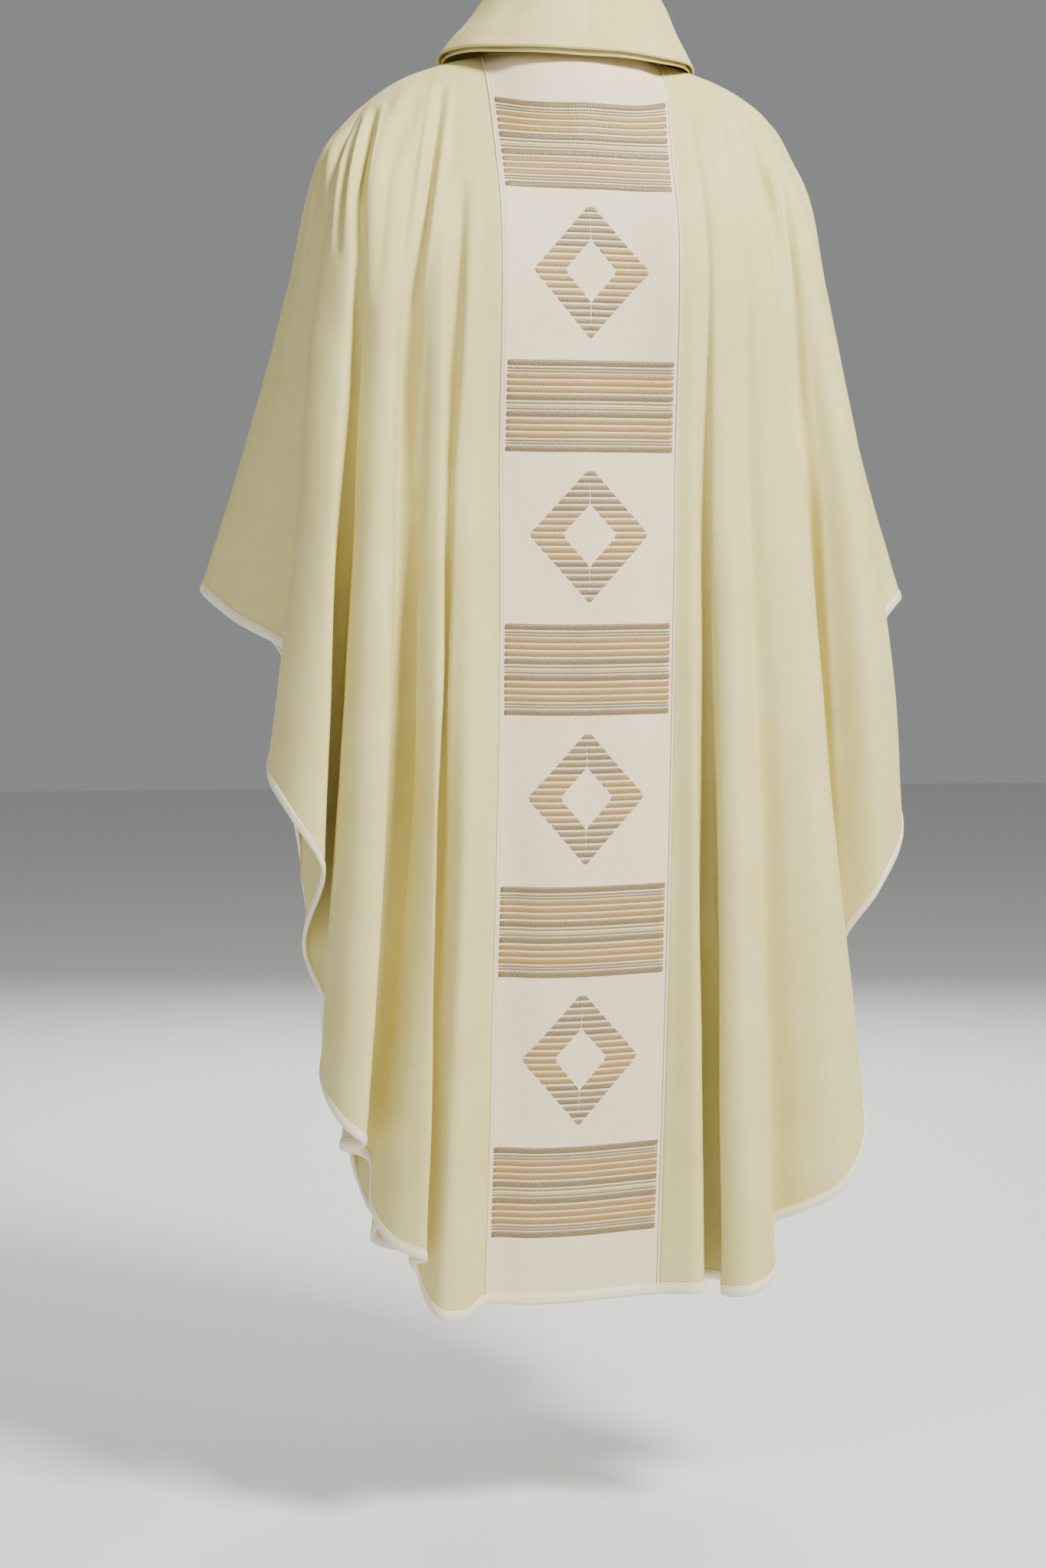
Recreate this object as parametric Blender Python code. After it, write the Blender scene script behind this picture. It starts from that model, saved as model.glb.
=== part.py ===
"""A chasuble as it hangs on its wearer, seen mostly from the back, with nobody in it.

The garment is one tube of cloth. Its shape comes from two tables, one for the back and one for the
front, with a row for each fold line, from the shoulder down to the hem. A smooth curve runs down each
line and another runs round the garment through all of them, and the panels are stretches of that
surface with a wall of cloth's thickness. Sizes in the tables are millimetres: X to the wearer's right,
Y to the wearer's front, Z up from the foot of the neck.
"""

from collections import namedtuple

import bpy
import numpy as np

MM = 0.001

# Driving dimensions, in millimetres.
CLOTH_THICKNESS = 2.0
SEAM_GAP = 0.3
NECK_HALF_WIDTH = 90.0
NECK_HALF_DEPTH = 84.0
BINDING_HEIGHT = 11.0
BINDING_THICKNESS = 2.6
BINDING_GAP = 0.8
CORD_WIDTH = 3.0
CORD_HEIGHT = 1.6
CORD_GAP = 0.6
CORD_TAPER = 0.6

# How far down its line each station lies, from the shoulder seam (0) to the hem (1).
STATIONS = (0.0, 0.12, 0.36, 0.66, 1.0)
PANEL_ROWS = (0.0, 0.03, 0.07, 0.12, 0.19, 0.27, 0.36, 0.45, 0.54, 0.63, 0.72, 0.81, 0.9)

# The binding's gap is measured square to the hem, which may run this steeply along a line.
LEAST_SLANT = 0.2

# Where the last stretch of a line is taken to be straight, and where the spans' widths are measured.
NEAR_HEM = 0.97
WIDE_ROW = 0.9

# The step, in lines and in shares of a line, over which the surface's directions are measured.
SMALL_STEP = 1e-3

# The way the cloth leaves the shoulder seam and the neck's edge: outward, to the back or front, up.
SHOULDER_START = (0.1, 1.35, 0.0)
NECK_START = (0.0, 0.9, -0.35)

# The shoulder seam, from the foot of the neck out to where the arm begins.
ShoulderPoint = namedtuple("ShoulderPoint", "x z")
SHOULDER = (
    ShoulderPoint(0, 0),
    ShoulderPoint(90, 6),
    ShoulderPoint(135, -5),
    ShoulderPoint(180, -24),
    ShoulderPoint(225, -58),
)

# A fold line: where it leaves the shoulder, then its place at the yoke, chest, low and hem stations.
Fold = namedtuple("Fold", "name top_x yoke_x yoke_y yoke_z chest_x chest_y low_x low_y hem_x hem_y hem_z")
BACK_FOLDS = (
    Fold("left seam", -225, -253, 3, -95, -283, 10, -324, 35, -379, 60, -547),
    Fold("left sleeve face", -219, -252, -28, -98, -279, -25, -313, 0, -346, 30, -578),
    Fold("left sleeve inner", -213, -246, -50, -105, -266, -50, -283, -34, -290, -10, -615),
    Fold("first valley", -207, -240, -62, -110, -257, -68, -266, -58, -270, -42, -662),
    Fold("first pipe edge", -201, -241, -80, -118, -275, -98, -293, -108, -322, -102, -728),
    Fold("first pipe middle", -195, -234, -93, -122, -262, -122, -281, -140, -303, -148, -775),
    Fold("first pipe inner", -189, -226, -102, -125, -246, -133, -262, -152, -274, -156, -826),
    Fold("narrow valley left", -184, -220, -104, -127, -238, -114, -258, -98, -286, -84, -916),
    Fold("narrow valley right", -179, -214, -106, -128, -230, -114, -243, -98, -257, -86, -988),
    Fold("second pipe edge", -173, -208, -112, -129, -229, -134, -247, -150, -273, -140, -1045),
    Fold("second pipe middle", -167, -199, -119, -130, -216, -150, -231, -174, -257, -176, -1078),
    Fold("second pipe inner", -160, -189, -121, -130, -202, -149, -212, -173, -236, -181, -1098),
    Fold("broad valley left", -153, -180, -118, -130, -191, -127, -206, -122, -248, -108, -1117),
    Fold("broad valley right", -146, -170, -119, -130, -178, -128, -178, -122, -222, -112, -1128),
    Fold("third pipe edge", -139, -161, -122, -130, -169, -138, -176, -147, -221, -136, -1178),
    Fold("third pipe middle", -133, -154, -124, -130, -161, -149, -169, -167, -202, -172, -1206),
    Fold("third pipe inner", -127, -147, -125, -130, -153, -152, -161, -175, -173, -187, -1217),
    Fold("thin valley left", -121, -141, -124, -130, -148, -143, -160, -151, -184, -154, -1226),
    Fold("thin valley right", -116, -136, -124, -130, -142, -142, -152, -148, -177, -147, -1240),
    Fold("fourth pipe edge", -111, -130, -126, -130, -136, -149, -145, -166, -171, -160, -1262),
    Fold("fourth pipe middle", -106, -121, -128, -130, -125, -153, -133, -179, -158, -183, -1277),
    Fold("fourth pipe inner", -99, -108, -129, -130, -110, -150, -115, -170, -134, -180, -1279),
    Fold("orphrey left seam", -90, -91, -130, -130, -92, -148, -97, -154, -110, -153, -1270),
    Fold("orphrey left", -60, -47, -134, -130, -48, -152, -52, -158, -65, -156, -1271),
    Fold("orphrey middle", 0, 0, -136, -130, -2, -153, -7, -157, -20, -155, -1271),
    Fold("orphrey right", 60, 47, -134, -130, 44, -150, 38, -154, 25, -152, -1269),
    Fold("orphrey right seam", 90, 90, -129, -130, 88, -145, 82, -149, 70, -151, -1267),
    Fold("side strip", 98, 102, -128, -130, 104, -147, 107, -161, 111, -168, -1264),
    Fold("tucked valley left", 104, 110, -125, -130, 117, -138, 120, -130, 126, -118, -1261),
    Fold("tucked valley right", 110, 117, -124, -130, 124, -137, 135, -136, 143, -126, -1262),
    Fold("fifth pipe edge", 116, 123, -126, -130, 128, -148, 130, -170, 136, -172, -1267),
    Fold("fifth pipe middle", 123, 132, -126, -130, 140, -153, 145, -181, 158, -189, -1263),
    Fold("fifth pipe outer", 131, 143, -124, -130, 152, -147, 166, -168, 190, -166, -1251),
    Fold("shallow valley", 138, 151, -120, -130, 163, -138, 179, -144, 196, -124, -1208),
    Fold("side fold inner", 146, 161, -118, -130, 180, -143, 203, -158, 226, -141, -1190),
    Fold("side fold middle", 155, 174, -113, -130, 200, -141, 229, -163, 262, -150, -1170),
    Fold("side fold outer", 164, 183, -107, -130, 214, -134, 245, -152, 288, -137, -1138),
    Fold("side fold edge", 172, 190, -101, -129, 223, -124, 253, -134, 296, -114, -1092),
    Fold("side valley left", 178, 195, -98, -127, 225, -110, 247, -104, 281, -78, -1030),
    Fold("side valley right", 183, 200, -96, -126, 230, -107, 254, -98, 280, -68, -975),
    Fold("arm fold inner", 188, 206, -94, -125, 239, -113, 264, -112, 287, -88, -912),
    Fold("arm fold middle", 193, 215, -88, -122, 253, -118, 290, -130, 318, -110, -858),
    Fold("arm fold edge", 200, 226, -76, -118, 273, -92, 319, -98, 350, -74, -797),
    Fold("arm valley", 206, 233, -58, -112, 266, -62, 286, -48, 312, -24, -676),
    Fold("right sleeve inner", 212, 240, -44, -106, 276, -42, 305, -18, 338, 8, -602),
    Fold("right sleeve face", 219, 245, -24, -100, 285, -16, 321, 10, 367, 35, -573),
    Fold("right seam", 225, 246, 3, -96, 288, 12, 329, 36, 392, 60, -553),
)
FRONT_FOLDS = (
    Fold("front right sleeve face", 218, 245, 32, -100, 285, 42, 323, 62, 372, 88, -580),
    Fold("front right sleeve inner", 211, 240, 52, -106, 273, 60, 298, 72, 326, 84, -636),
    Fold("front right arm fold edge", 203, 240, 70, -114, 266, 92, 292, 118, 330, 124, -738),
    Fold("front right arm fold inner", 195, 230, 84, -119, 250, 112, 270, 138, 300, 150, -812),
    Fold("front right valley", 187, 220, 89, -122, 238, 99, 252, 98, 280, 92, -900),
    Fold("front right side fold edge", 179, 210, 96, -124, 228, 118, 246, 144, 273, 152, -990),
    Fold("front right side fold middle", 170, 198, 104, -126, 210, 130, 226, 162, 248, 180, -1050),
    Fold("front right broad valley", 161, 188, 106, -127, 196, 114, 208, 114, 236, 112, -1098),
    Fold("front right pipe edge", 152, 177, 112, -128, 184, 128, 197, 142, 221, 144, -1140),
    Fold("front right pipe middle", 143, 165, 117, -129, 170, 139, 181, 166, 197, 182, -1180),
    Fold("front right pipe inner", 134, 153, 119, -130, 154, 138, 160, 164, 172, 180, -1206),
    Fold("front right thin valley", 124, 142, 118, -130, 141, 127, 146, 134, 157, 136, -1230),
    Fold("front right last pipe edge", 114, 130, 121, -130, 127, 138, 132, 158, 142, 165, -1254),
    Fold("front right last pipe", 102, 112, 124, -130, 108, 144, 111, 166, 117, 176, -1274),
    Fold("front orphrey right seam", 90, 90, 125, -131, 90, 145, 90, 158, 90, 161, -1284),
    Fold("front orphrey right", 60, 47, 129, -137, 46, 150, 45, 163, 45, 166, -1290),
    Fold("front orphrey middle", 0, 0, 131, -142, 0, 151, 0, 164, 0, 168, -1292),
    Fold("front orphrey left", -60, -47, 129, -137, -46, 150, -45, 163, -46, 167, -1291),
    Fold("front orphrey left seam", -90, -90, 125, -131, -90, 145, -90, 158, -91, 162, -1287),
    Fold("front left last pipe", -102, -112, 124, -130, -111, 144, -119, 167, -128, 178, -1288),
    Fold("front left last pipe middle", -112, -128, 122, -130, -129, 142, -142, 166, -158, 177, -1284),
    Fold("front left last pipe edge", -122, -141, 119, -130, -142, 134, -158, 154, -184, 164, -1272),
    Fold("front left thin valley right", -129, -149, 116, -130, -151, 124, -163, 132, -184, 136, -1246),
    Fold("front left thin valley left", -135, -156, 115, -130, -159, 123, -171, 129, -192, 130, -1230),
    Fold("front left pipe inner", -142, -163, 117, -129, -167, 138, -179, 158, -200, 160, -1210),
    Fold("front left pipe edge", -150, -172, 114, -129, -178, 135, -192, 152, -210, 150, -1172),
    Fold("front left broad valley", -159, -181, 108, -128, -189, 115, -203, 112, -216, 108, -1122),
    Fold("front left side fold middle", -168, -191, 105, -127, -201, 128, -219, 148, -231, 149, -1076),
    Fold("front left side fold edge", -177, -202, 98, -125, -217, 119, -233, 134, -244, 131, -1022),
    Fold("front left valley right", -184, -211, 90, -123, -229, 101, -237, 100, -242, 98, -964),
    Fold("front left valley left", -189, -216, 87, -121, -236, 99, -245, 98, -251, 96, -928),
    Fold("front left arm fold inner", -195, -223, 83, -119, -246, 109, -258, 122, -262, 122, -882),
    Fold("front left arm fold middle", -200, -231, 75, -116, -257, 102, -267, 122, -270, 127, -828),
    Fold("front left arm fold edge", -206, -238, 66, -113, -263, 88, -275, 102, -282, 103, -756),
    Fold("front left sleeve inner", -212, -245, 50, -106, -268, 60, -278, 68, -276, 68, -650),
    Fold("front left sleeve face", -218, -252, 32, -100, -281, 40, -310, 60, -328, 80, -572),
)
FOLDS = BACK_FOLDS + FRONT_FOLDS
LINE_OF = {fold.name: number for number, fold in enumerate(FOLDS)}

# How far the neck's edge lies below the foot of the neck at the back, and at the front.
NECK_BACK_Z = 0.0
NECK_FRONT_Z = -56.0

# The collar's section, from the leaf's free edge up over the roll and down inside to the neck seam.
CollarRing = namedtuple("CollarRing", "middle_x half_width back_y front_y back_z side_z front_z")
COLLAR_RINGS = (
    CollarRing(3, 136, -114, 120, -3, 4, -63),
    CollarRing(4, 126, -107, 113, 16, 20, -41),
    CollarRing(6, 111, -97, 102, 40, 40, -14),
    CollarRing(8, 97, -88, 92, 66, 63, 11),
    CollarRing(8, 89, -82, 85, 79, 75, 22),
    CollarRing(7, 82, -77, 79, 82, 78, 24),
    CollarRing(4, 79, -75, 77, 74, 70, 16),
    CollarRing(1, 79, -74.5, 77, 50, 46, -8),
    CollarRing(0, 82, -76.5, 78.5, 25, 26, -33),
    CollarRing(0, 87.2, -81.5, 81.5, -1, 5, -57),
)
COLLAR_STEPS_ROUND = 36

# The leaf's free edge sits this much higher on the wearer's left, and as much lower on the right.
COLLAR_TILT = 5.5

# The whole tilt is reached where a ring is this much wider than the collar's foot.
COLLAR_TILT_REACH = 50.0

# A span between two fold lines gets one more column for each stretch of this length.
COLUMN_LENGTH = 24.0
ORPHREY_COLUMNS = 4

# Edges sharper than this many degrees aren't smoothed.
SHARP_ANGLE = 50.0

# Base colour as sRGB hex, roughness.
WOOL_CREAM = ("dcd5be", 0.85)
BAND_CREAM = ("ddd3c2", 0.8)
SATIN_CREAM = ("e4dcc6", 0.45)


def tangents(points, knots, closed):
    """The slope at each point of a smooth curve through them, with uneven steps between the knots."""
    steps = np.diff(knots, axis=0)
    slopes = np.diff(points, axis=0) / steps[..., None]
    if closed:
        before, after = np.roll(slopes, 1, axis=0), slopes
        step_before, step_after = np.roll(steps, 1, axis=0), steps
        blend = (step_before / (step_before + step_after))[..., None]
        inner = before * (1 - blend) + after * blend
        return np.concatenate([inner, inner[:1]])
    blend = (steps[:-1] / (steps[:-1] + steps[1:]))[..., None]
    inner = slopes[:-1] * (1 - blend) + slopes[1:] * blend
    first = 1.5 * slopes[0] - 0.5 * inner[0]
    last = 1.5 * slopes[-1] - 0.5 * inner[-1]
    return np.concatenate([first[None], inner, last[None]])


def hermite(start, end, start_slope, end_slope, step, along):
    """A point of the curve between start and end, where along runs from 0 to 1."""
    square, cube = along**2, along**3
    return (
        (2 * cube - 3 * square + 1) * start
        + (cube - 2 * square + along) * step * start_slope
        + (3 * square - 2 * cube) * end
        + (cube - square) * step * end_slope
    )


def shoulder_z(x):
    """The shoulder seam's height at a distance from the neck's centre."""
    xs = np.array([point.x for point in SHOULDER], float)
    heights = np.array([point.z for point in SHOULDER], float)[:, None]
    slopes = tangents(heights, xs, closed=False)
    span = int(np.clip(np.searchsorted(xs, abs(x)) - 1, 0, len(xs) - 2))
    step = xs[span + 1] - xs[span]
    along = (abs(x) - xs[span]) / step
    return float(hermite(heights[span], heights[span + 1], slopes[span], slopes[span + 1], step, along)[0])


def is_orphrey(fold):
    """Whether the line starts at the neck's edge and not on the shoulder seam."""
    return abs(fold.top_x) < NECK_HALF_WIDTH


def neck_point(angle, side):
    """A point of the neck's edge, where angle 0 is the middle of the back or the front."""
    edge_z = NECK_BACK_Z if side < 0 else NECK_FRONT_Z
    corner_z = shoulder_z(NECK_HALF_WIDTH)
    height = corner_z + (edge_z - corner_z) * np.cos(angle) ** 2
    return np.array([NECK_HALF_WIDTH * np.sin(angle), side * NECK_HALF_DEPTH * np.cos(angle), height])


def top_point(fold, side):
    """Where the line starts: on the neck's edge or on the shoulder seam. Side is -1 for the back."""
    if is_orphrey(fold):
        return neck_point(np.arcsin(fold.top_x / NECK_HALF_WIDTH), side)
    return np.array([fold.top_x, side * SEAM_GAP / 2, shoulder_z(fold.top_x)])


def station_points(fold, side):
    """The line's five stations, with the heights of the middle ones shared out between yoke and hem."""
    points = [top_point(fold, side), np.array([fold.yoke_x, fold.yoke_y, fold.yoke_z], float)]
    yoke, hem = STATIONS[1], STATIONS[4]
    for station, x, y in ((STATIONS[2], fold.chest_x, fold.chest_y), (STATIONS[3], fold.low_x, fold.low_y)):
        share = (station - yoke) / (hem - yoke)
        points.append(np.array([x, y, fold.yoke_z + (fold.hem_z - fold.yoke_z) * share]))
    points.append(np.array([fold.hem_x, fold.hem_y, fold.hem_z], float))
    return np.array(points)


def line_points(rows_down):
    """Every fold line's points at the given places down: an array of rows, lines and coordinates."""
    knots = np.array(STATIONS)
    lines = []
    for number, fold in enumerate(FOLDS):
        side = -1 if number < len(BACK_FOLDS) else 1
        points = station_points(fold, side)
        slopes = tangents(points, knots, closed=False)
        if fold.name not in ("left seam", "right seam"):
            reach = np.linalg.norm(points[1] - points[0]) / knots[1]
            start = NECK_START if is_orphrey(fold) else SHOULDER_START
            slopes[0] = np.array([start[0] * np.sign(fold.top_x), start[1] * side, start[2]]) * reach
        line = []
        for down in rows_down:
            span = int(np.clip(np.searchsorted(knots, down) - 1, 0, len(knots) - 2))
            step = knots[span + 1] - knots[span]
            along = (down - knots[span]) / step
            line.append(hermite(points[span], points[span + 1], slopes[span], slopes[span + 1], step, along))
        lines.append(line)
    return np.array(lines).transpose(1, 0, 2)


def ring_points(lines, columns):
    """The surface's points where each row crosses the given columns.

    A column is a number such as 3.5, halfway between lines 3 and 4.
    """
    count = lines.shape[1]
    closed = np.concatenate([lines, lines[:, :1]], axis=1).transpose(1, 0, 2)
    lengths = np.linalg.norm(np.diff(closed, axis=0), axis=2)
    knots = np.concatenate([np.zeros((1, lengths.shape[1])), np.cumsum(np.sqrt(lengths + 1e-6), axis=0)])
    slopes = tangents(closed, knots, closed=True)
    result = []
    for column in columns:
        span = int(np.floor(column)) % count
        along = column - np.floor(column)
        step = (knots[span + 1] - knots[span])[:, None]
        result.append(
            hermite(closed[span], closed[span + 1], slopes[span], slopes[span + 1], step, along)
        )
    return np.array(result).transpose(1, 0, 2)


def surface(rows_down, columns):
    """Points of the cloth's middle surface and its outward directions, as rows by columns."""
    lines = line_points(rows_down)
    points = ring_points(lines, columns)
    around = ring_points(lines, np.add(columns, SMALL_STEP))
    around -= ring_points(lines, np.subtract(columns, SMALL_STEP))
    lower = [min(down + SMALL_STEP, 1.0) for down in rows_down]
    upper = [max(down - SMALL_STEP, 0.0) for down in rows_down]
    down = ring_points(line_points(lower), columns) - ring_points(line_points(upper), columns)
    outward = np.cross(down, around)
    outward /= np.linalg.norm(outward, axis=2, keepdims=True)
    return points, outward


def shoulder_outward(x):
    """The direction square to the shoulder seam, up and out."""
    before, after = abs(x) - 0.5, abs(x) + 0.5
    slope = (shoulder_z(after) - shoulder_z(before)) * np.sign(x)
    direction = np.array([-slope, 0.0, 1.0])
    return direction / np.linalg.norm(direction)


def columns_between(first, last):
    """Columns from one line to another, closer where the cloth between two lines is wide."""
    lines = line_points((WIDE_ROW,))[0]
    columns = []
    for line in range(first, last):
        width = np.linalg.norm(lines[(line + 1) % len(FOLDS)] - lines[line % len(FOLDS)])
        beside = (FOLDS[line % len(FOLDS)], FOLDS[(line + 1) % len(FOLDS)])
        fewest = ORPHREY_COLUMNS if any(is_orphrey(fold) for fold in beside) else 1
        pieces = max(fewest, int(round(width / COLUMN_LENGTH)))
        columns += [line + piece / pieces for piece in range(pieces)]
    return columns + [last]


def add_object(name, vertices, faces, finish):
    """Makes a named object from points in millimetres, with its own material."""
    mesh = bpy.data.meshes.new(name)
    mesh.from_pydata([tuple(point * MM) for point in vertices], [], faces)
    mesh.validate()
    mesh.shade_smooth()
    colour, roughness = finish
    material = bpy.data.materials.new(name)
    material.use_nodes = True
    shader = material.node_tree.nodes["Principled BSDF"]
    channels = [int(colour[place : place + 2], 16) / 255 for place in (0, 2, 4)]
    linear = [c / 12.92 if c <= 0.04045 else ((c + 0.055) / 1.055) ** 2.4 for c in channels]
    shader.inputs["Base Color"].default_value = (*linear, 1.0)
    shader.inputs["Roughness"].default_value = roughness
    mesh.materials.append(material)
    made = bpy.data.objects.new(name, mesh)
    bpy.context.scene.collection.objects.link(made)
    mesh.set_sharp_from_angle(angle=np.radians(SHARP_ANGLE))
    return made


def cut_in_two(corners, vertices):
    """Two triangles of a four-sided face, cut along its shorter diagonal."""
    a, b, c, d = corners
    if np.linalg.norm(vertices[a] - vertices[c]) <= np.linalg.norm(vertices[b] - vertices[d]):
        return (a, b, c), (a, c, d)
    return (a, b, d), (b, c, d)


def edge_faces(first, second, behind, facing):
    """The two triangles of a wall's edge, cut the same way on both sides of a seam."""
    triangles = [(first, second, behind + second), (first, behind + second, behind + first)]
    return triangles if facing > 0 else [triangle[::-1] for triangle in triangles]


def wall(name, outer, inner, finish, round_and_round=False):
    """A closed wall between two grids of points, outer and inner, as rows by columns."""
    rows, columns = outer.shape[:2]
    vertices = np.concatenate([outer.reshape(-1, 3), inner.reshape(-1, 3)])
    behind = rows * columns

    def at(row, column):
        return row * columns + column % columns

    faces = []
    spans = columns if round_and_round else columns - 1
    for row in range(rows - 1):
        for column in range(spans):
            corners = (at(row, column), at(row + 1, column), at(row + 1, column + 1), at(row, column + 1))
            for triangle in cut_in_two(corners, vertices):
                faces.append(triangle)
                faces.append(tuple(behind + corner for corner in reversed(triangle)))
    for column in range(spans):
        top, low = at(0, column), at(rows - 1, column)
        faces += edge_faces(top, at(0, column + 1), behind, facing=1)
        faces += edge_faces(low, at(rows - 1, column + 1), behind, facing=-1)
    if not round_and_round:
        for row in range(rows - 1):
            faces += edge_faces(at(row, 0), at(row + 1, 0), behind, facing=-1)
            faces += edge_faces(at(row, columns - 1), at(row + 1, columns - 1), behind, facing=1)
    return add_object(name, vertices, faces, finish)


def draw_back_ends(points, distance):
    """Moves the first and last columns along the cloth, away from the pieces beside them."""
    for column, toward in ((0, 1), (-1, -2)):
        direction = points[:, toward] - points[:, column]
        direction /= np.linalg.norm(direction, axis=1, keepdims=True)
        points[:, column] += direction * distance


def hem_band(columns):
    """The binding's upper and lower edges on the middle surface, with their outward directions."""
    points, outward = surface((NEAR_HEM, 1.0), columns)
    up = points[0] - points[1]
    up /= np.linalg.norm(up, axis=1, keepdims=True)
    points[0] = points[1] + up * BINDING_HEIGHT
    outward[0] = outward[1]
    return points, outward


def panel_surface(columns):
    """A panel's middle surface, from its first row down to the binding, with its outward directions."""
    points, outward = surface(PANEL_ROWS, columns)
    band_points, band_outward = hem_band(columns)
    return np.concatenate([points, band_points[:1]]), np.concatenate([outward, band_outward[:1]])


def make_side_panel(name, first, last, side):
    """A wide panel that hangs from the shoulder seam. Side is -1 for the back and 1 for the front."""
    points, outward = panel_surface(columns_between(first, last))
    points[0, :, 2] = [shoulder_z(x) for x in points[0, :, 0]]
    outward[0] = [shoulder_outward(x) for x in points[0, :, 0]]
    draw_back_ends(points, SEAM_GAP / 2)
    points[0, :, 1] = side * SEAM_GAP / 2
    half = CLOTH_THICKNESS / 2
    wall(name, points + outward * half, points - outward * half, WOOL_CREAM)


def make_orphrey(name, first, last, side):
    """The straight centre band of the back or the front, from the neck's edge down."""
    points, outward = panel_surface(columns_between(first, last))
    angles = np.arctan2(points[0, :, 0] / NECK_HALF_WIDTH, side * points[0, :, 1] / NECK_HALF_DEPTH)
    points[0, 1:-1] = [neck_point(angle, side) for angle in angles[1:-1]]
    for corner in (0, -1):
        outward[0, corner] = shoulder_outward(points[0, corner, 0])
    draw_back_ends(points, SEAM_GAP / 2)
    half = CLOTH_THICKNESS / 2
    wall(name, points + outward * half, points - outward * half, BAND_CREAM)


def make_binding(name, first, last):
    """The satin strip below the panels of one side, a little thicker than the cloth."""
    points, outward = hem_band(columns_between(first, last))
    draw_back_ends(points, BINDING_GAP)
    down = (points[1] - points[0]) / BINDING_HEIGHT
    along = np.diff(points[0], axis=0)
    along /= np.linalg.norm(along, axis=1, keepdims=True)
    before = np.linalg.norm(np.cross(down[1:], along), axis=1)
    after = np.linalg.norm(np.cross(down[:-1], along), axis=1)
    slant = np.minimum(np.append(after, 1.0), np.insert(before, 0, 1.0))[:, None]
    points[0] += down * BINDING_GAP / np.maximum(slant, LEAST_SLANT)
    half = BINDING_THICKNESS / 2
    wall(name, points + outward * half, points - outward * half, SATIN_CREAM)


def make_cord(name, line):
    """A cord that lies on an orphrey's seam, its foot made from the panels' own points, moved out."""
    beside = (columns_between(line - 1, line)[-2], line, columns_between(line, line + 1)[1])
    points, outward = panel_surface(beside)
    points, outward = points[1:], outward[1:]
    outer = points + outward * CLOTH_THICKNESS / 2
    normal = outward[:, 1]
    foot, crown = [], []
    for neighbour in (0, 1, 2):
        toward = outer[:, neighbour] - outer[:, 1]
        length = np.maximum(np.linalg.norm(toward, axis=1, keepdims=True), 1e-9)
        level = outer[:, 1] + toward / length * CORD_WIDTH / 2
        foot.append(level + normal * CORD_GAP)
        crown.append(level * CORD_TAPER + outer[:, 1] * (1 - CORD_TAPER) + normal * (CORD_GAP + CORD_HEIGHT))
    wall(name, np.stack(crown, axis=1), np.stack(foot, axis=1), SATIN_CREAM)


def collar_point(ring, angle):
    """A point of the collar's ring, where angle 0 is the back and a quarter turn is the wearer's right."""
    back, front = max(np.cos(angle), 0.0) ** 2, max(-np.cos(angle), 0.0) ** 2
    depth = -ring.back_y if np.cos(angle) > 0 else ring.front_y
    reach = (ring.half_width - COLLAR_RINGS[-1].half_width) / COLLAR_TILT_REACH
    tilt = COLLAR_TILT * reach * np.sin(angle)
    return np.array([
        ring.middle_x + ring.half_width * np.sin(angle),
        -depth * np.cos(angle),
        ring.side_z + (ring.back_z - ring.side_z) * back + (ring.front_z - ring.side_z) * front - tilt,
    ])


def make_collar():
    """The roll collar: one strip of cloth turned over on itself round the neck."""
    angles = np.arange(COLLAR_STEPS_ROUND) * 2 * np.pi / COLLAR_STEPS_ROUND
    points = np.array([[collar_point(ring, angle) for angle in angles] for ring in COLLAR_RINGS])
    around = np.roll(points, -1, axis=1) - np.roll(points, 1, axis=1)
    upward = np.gradient(points, axis=0)
    outward = np.cross(around, upward)
    outward /= np.linalg.norm(outward, axis=2, keepdims=True)
    half = CLOTH_THICKNESS / 2
    wall("collar", points[::-1] + outward[::-1] * half, points[::-1] - outward[::-1] * half, WOOL_CREAM, True)


def clear_scene():
    """Removes whatever the scene starts with."""
    for item in list(bpy.data.objects):
        bpy.data.objects.remove(item, do_unlink=True)


def main():
    clear_scene()
    left, right = LINE_OF["left seam"], LINE_OF["right seam"]
    orphrey_left, orphrey_right = LINE_OF["orphrey left seam"], LINE_OF["orphrey right seam"]
    front_right, front_left = LINE_OF["front orphrey right seam"], LINE_OF["front orphrey left seam"]
    all_round = len(FOLDS)
    make_side_panel("back_left", left, orphrey_left, side=-1)
    make_side_panel("back_right", orphrey_right, right, side=-1)
    make_side_panel("front_right", right, front_right, side=1)
    make_side_panel("front_left", front_left, all_round, side=1)
    make_orphrey("back_orphrey", orphrey_left, orphrey_right, side=-1)
    make_orphrey("front_orphrey", front_right, front_left, side=1)
    make_binding("back_hem_binding", left, right)
    make_binding("front_hem_binding", right, all_round)
    make_cord("back_left_cord", orphrey_left)
    make_cord("back_right_cord", orphrey_right)
    make_cord("front_left_cord", front_left)
    make_cord("front_right_cord", front_right)
    make_collar()


if __name__ == "__main__":
    main()
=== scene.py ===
"""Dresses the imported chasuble: fine cloth with its creases, stitched bands, satin edges, and a stage.

The cloth follows the same fold tables as the part's solids, drawn finer, with small waves and creases
added. Sizes in the tables and in the surface functions are millimetres, and meshes are metres: X to the
wearer's right, Y to the wearer's front, Z up from the foot of the neck.
"""

from collections import namedtuple

import bmesh
import bpy
import numpy as np
from bpy.props import FloatProperty, FloatVectorProperty, PointerProperty
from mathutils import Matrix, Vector, noise


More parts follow.
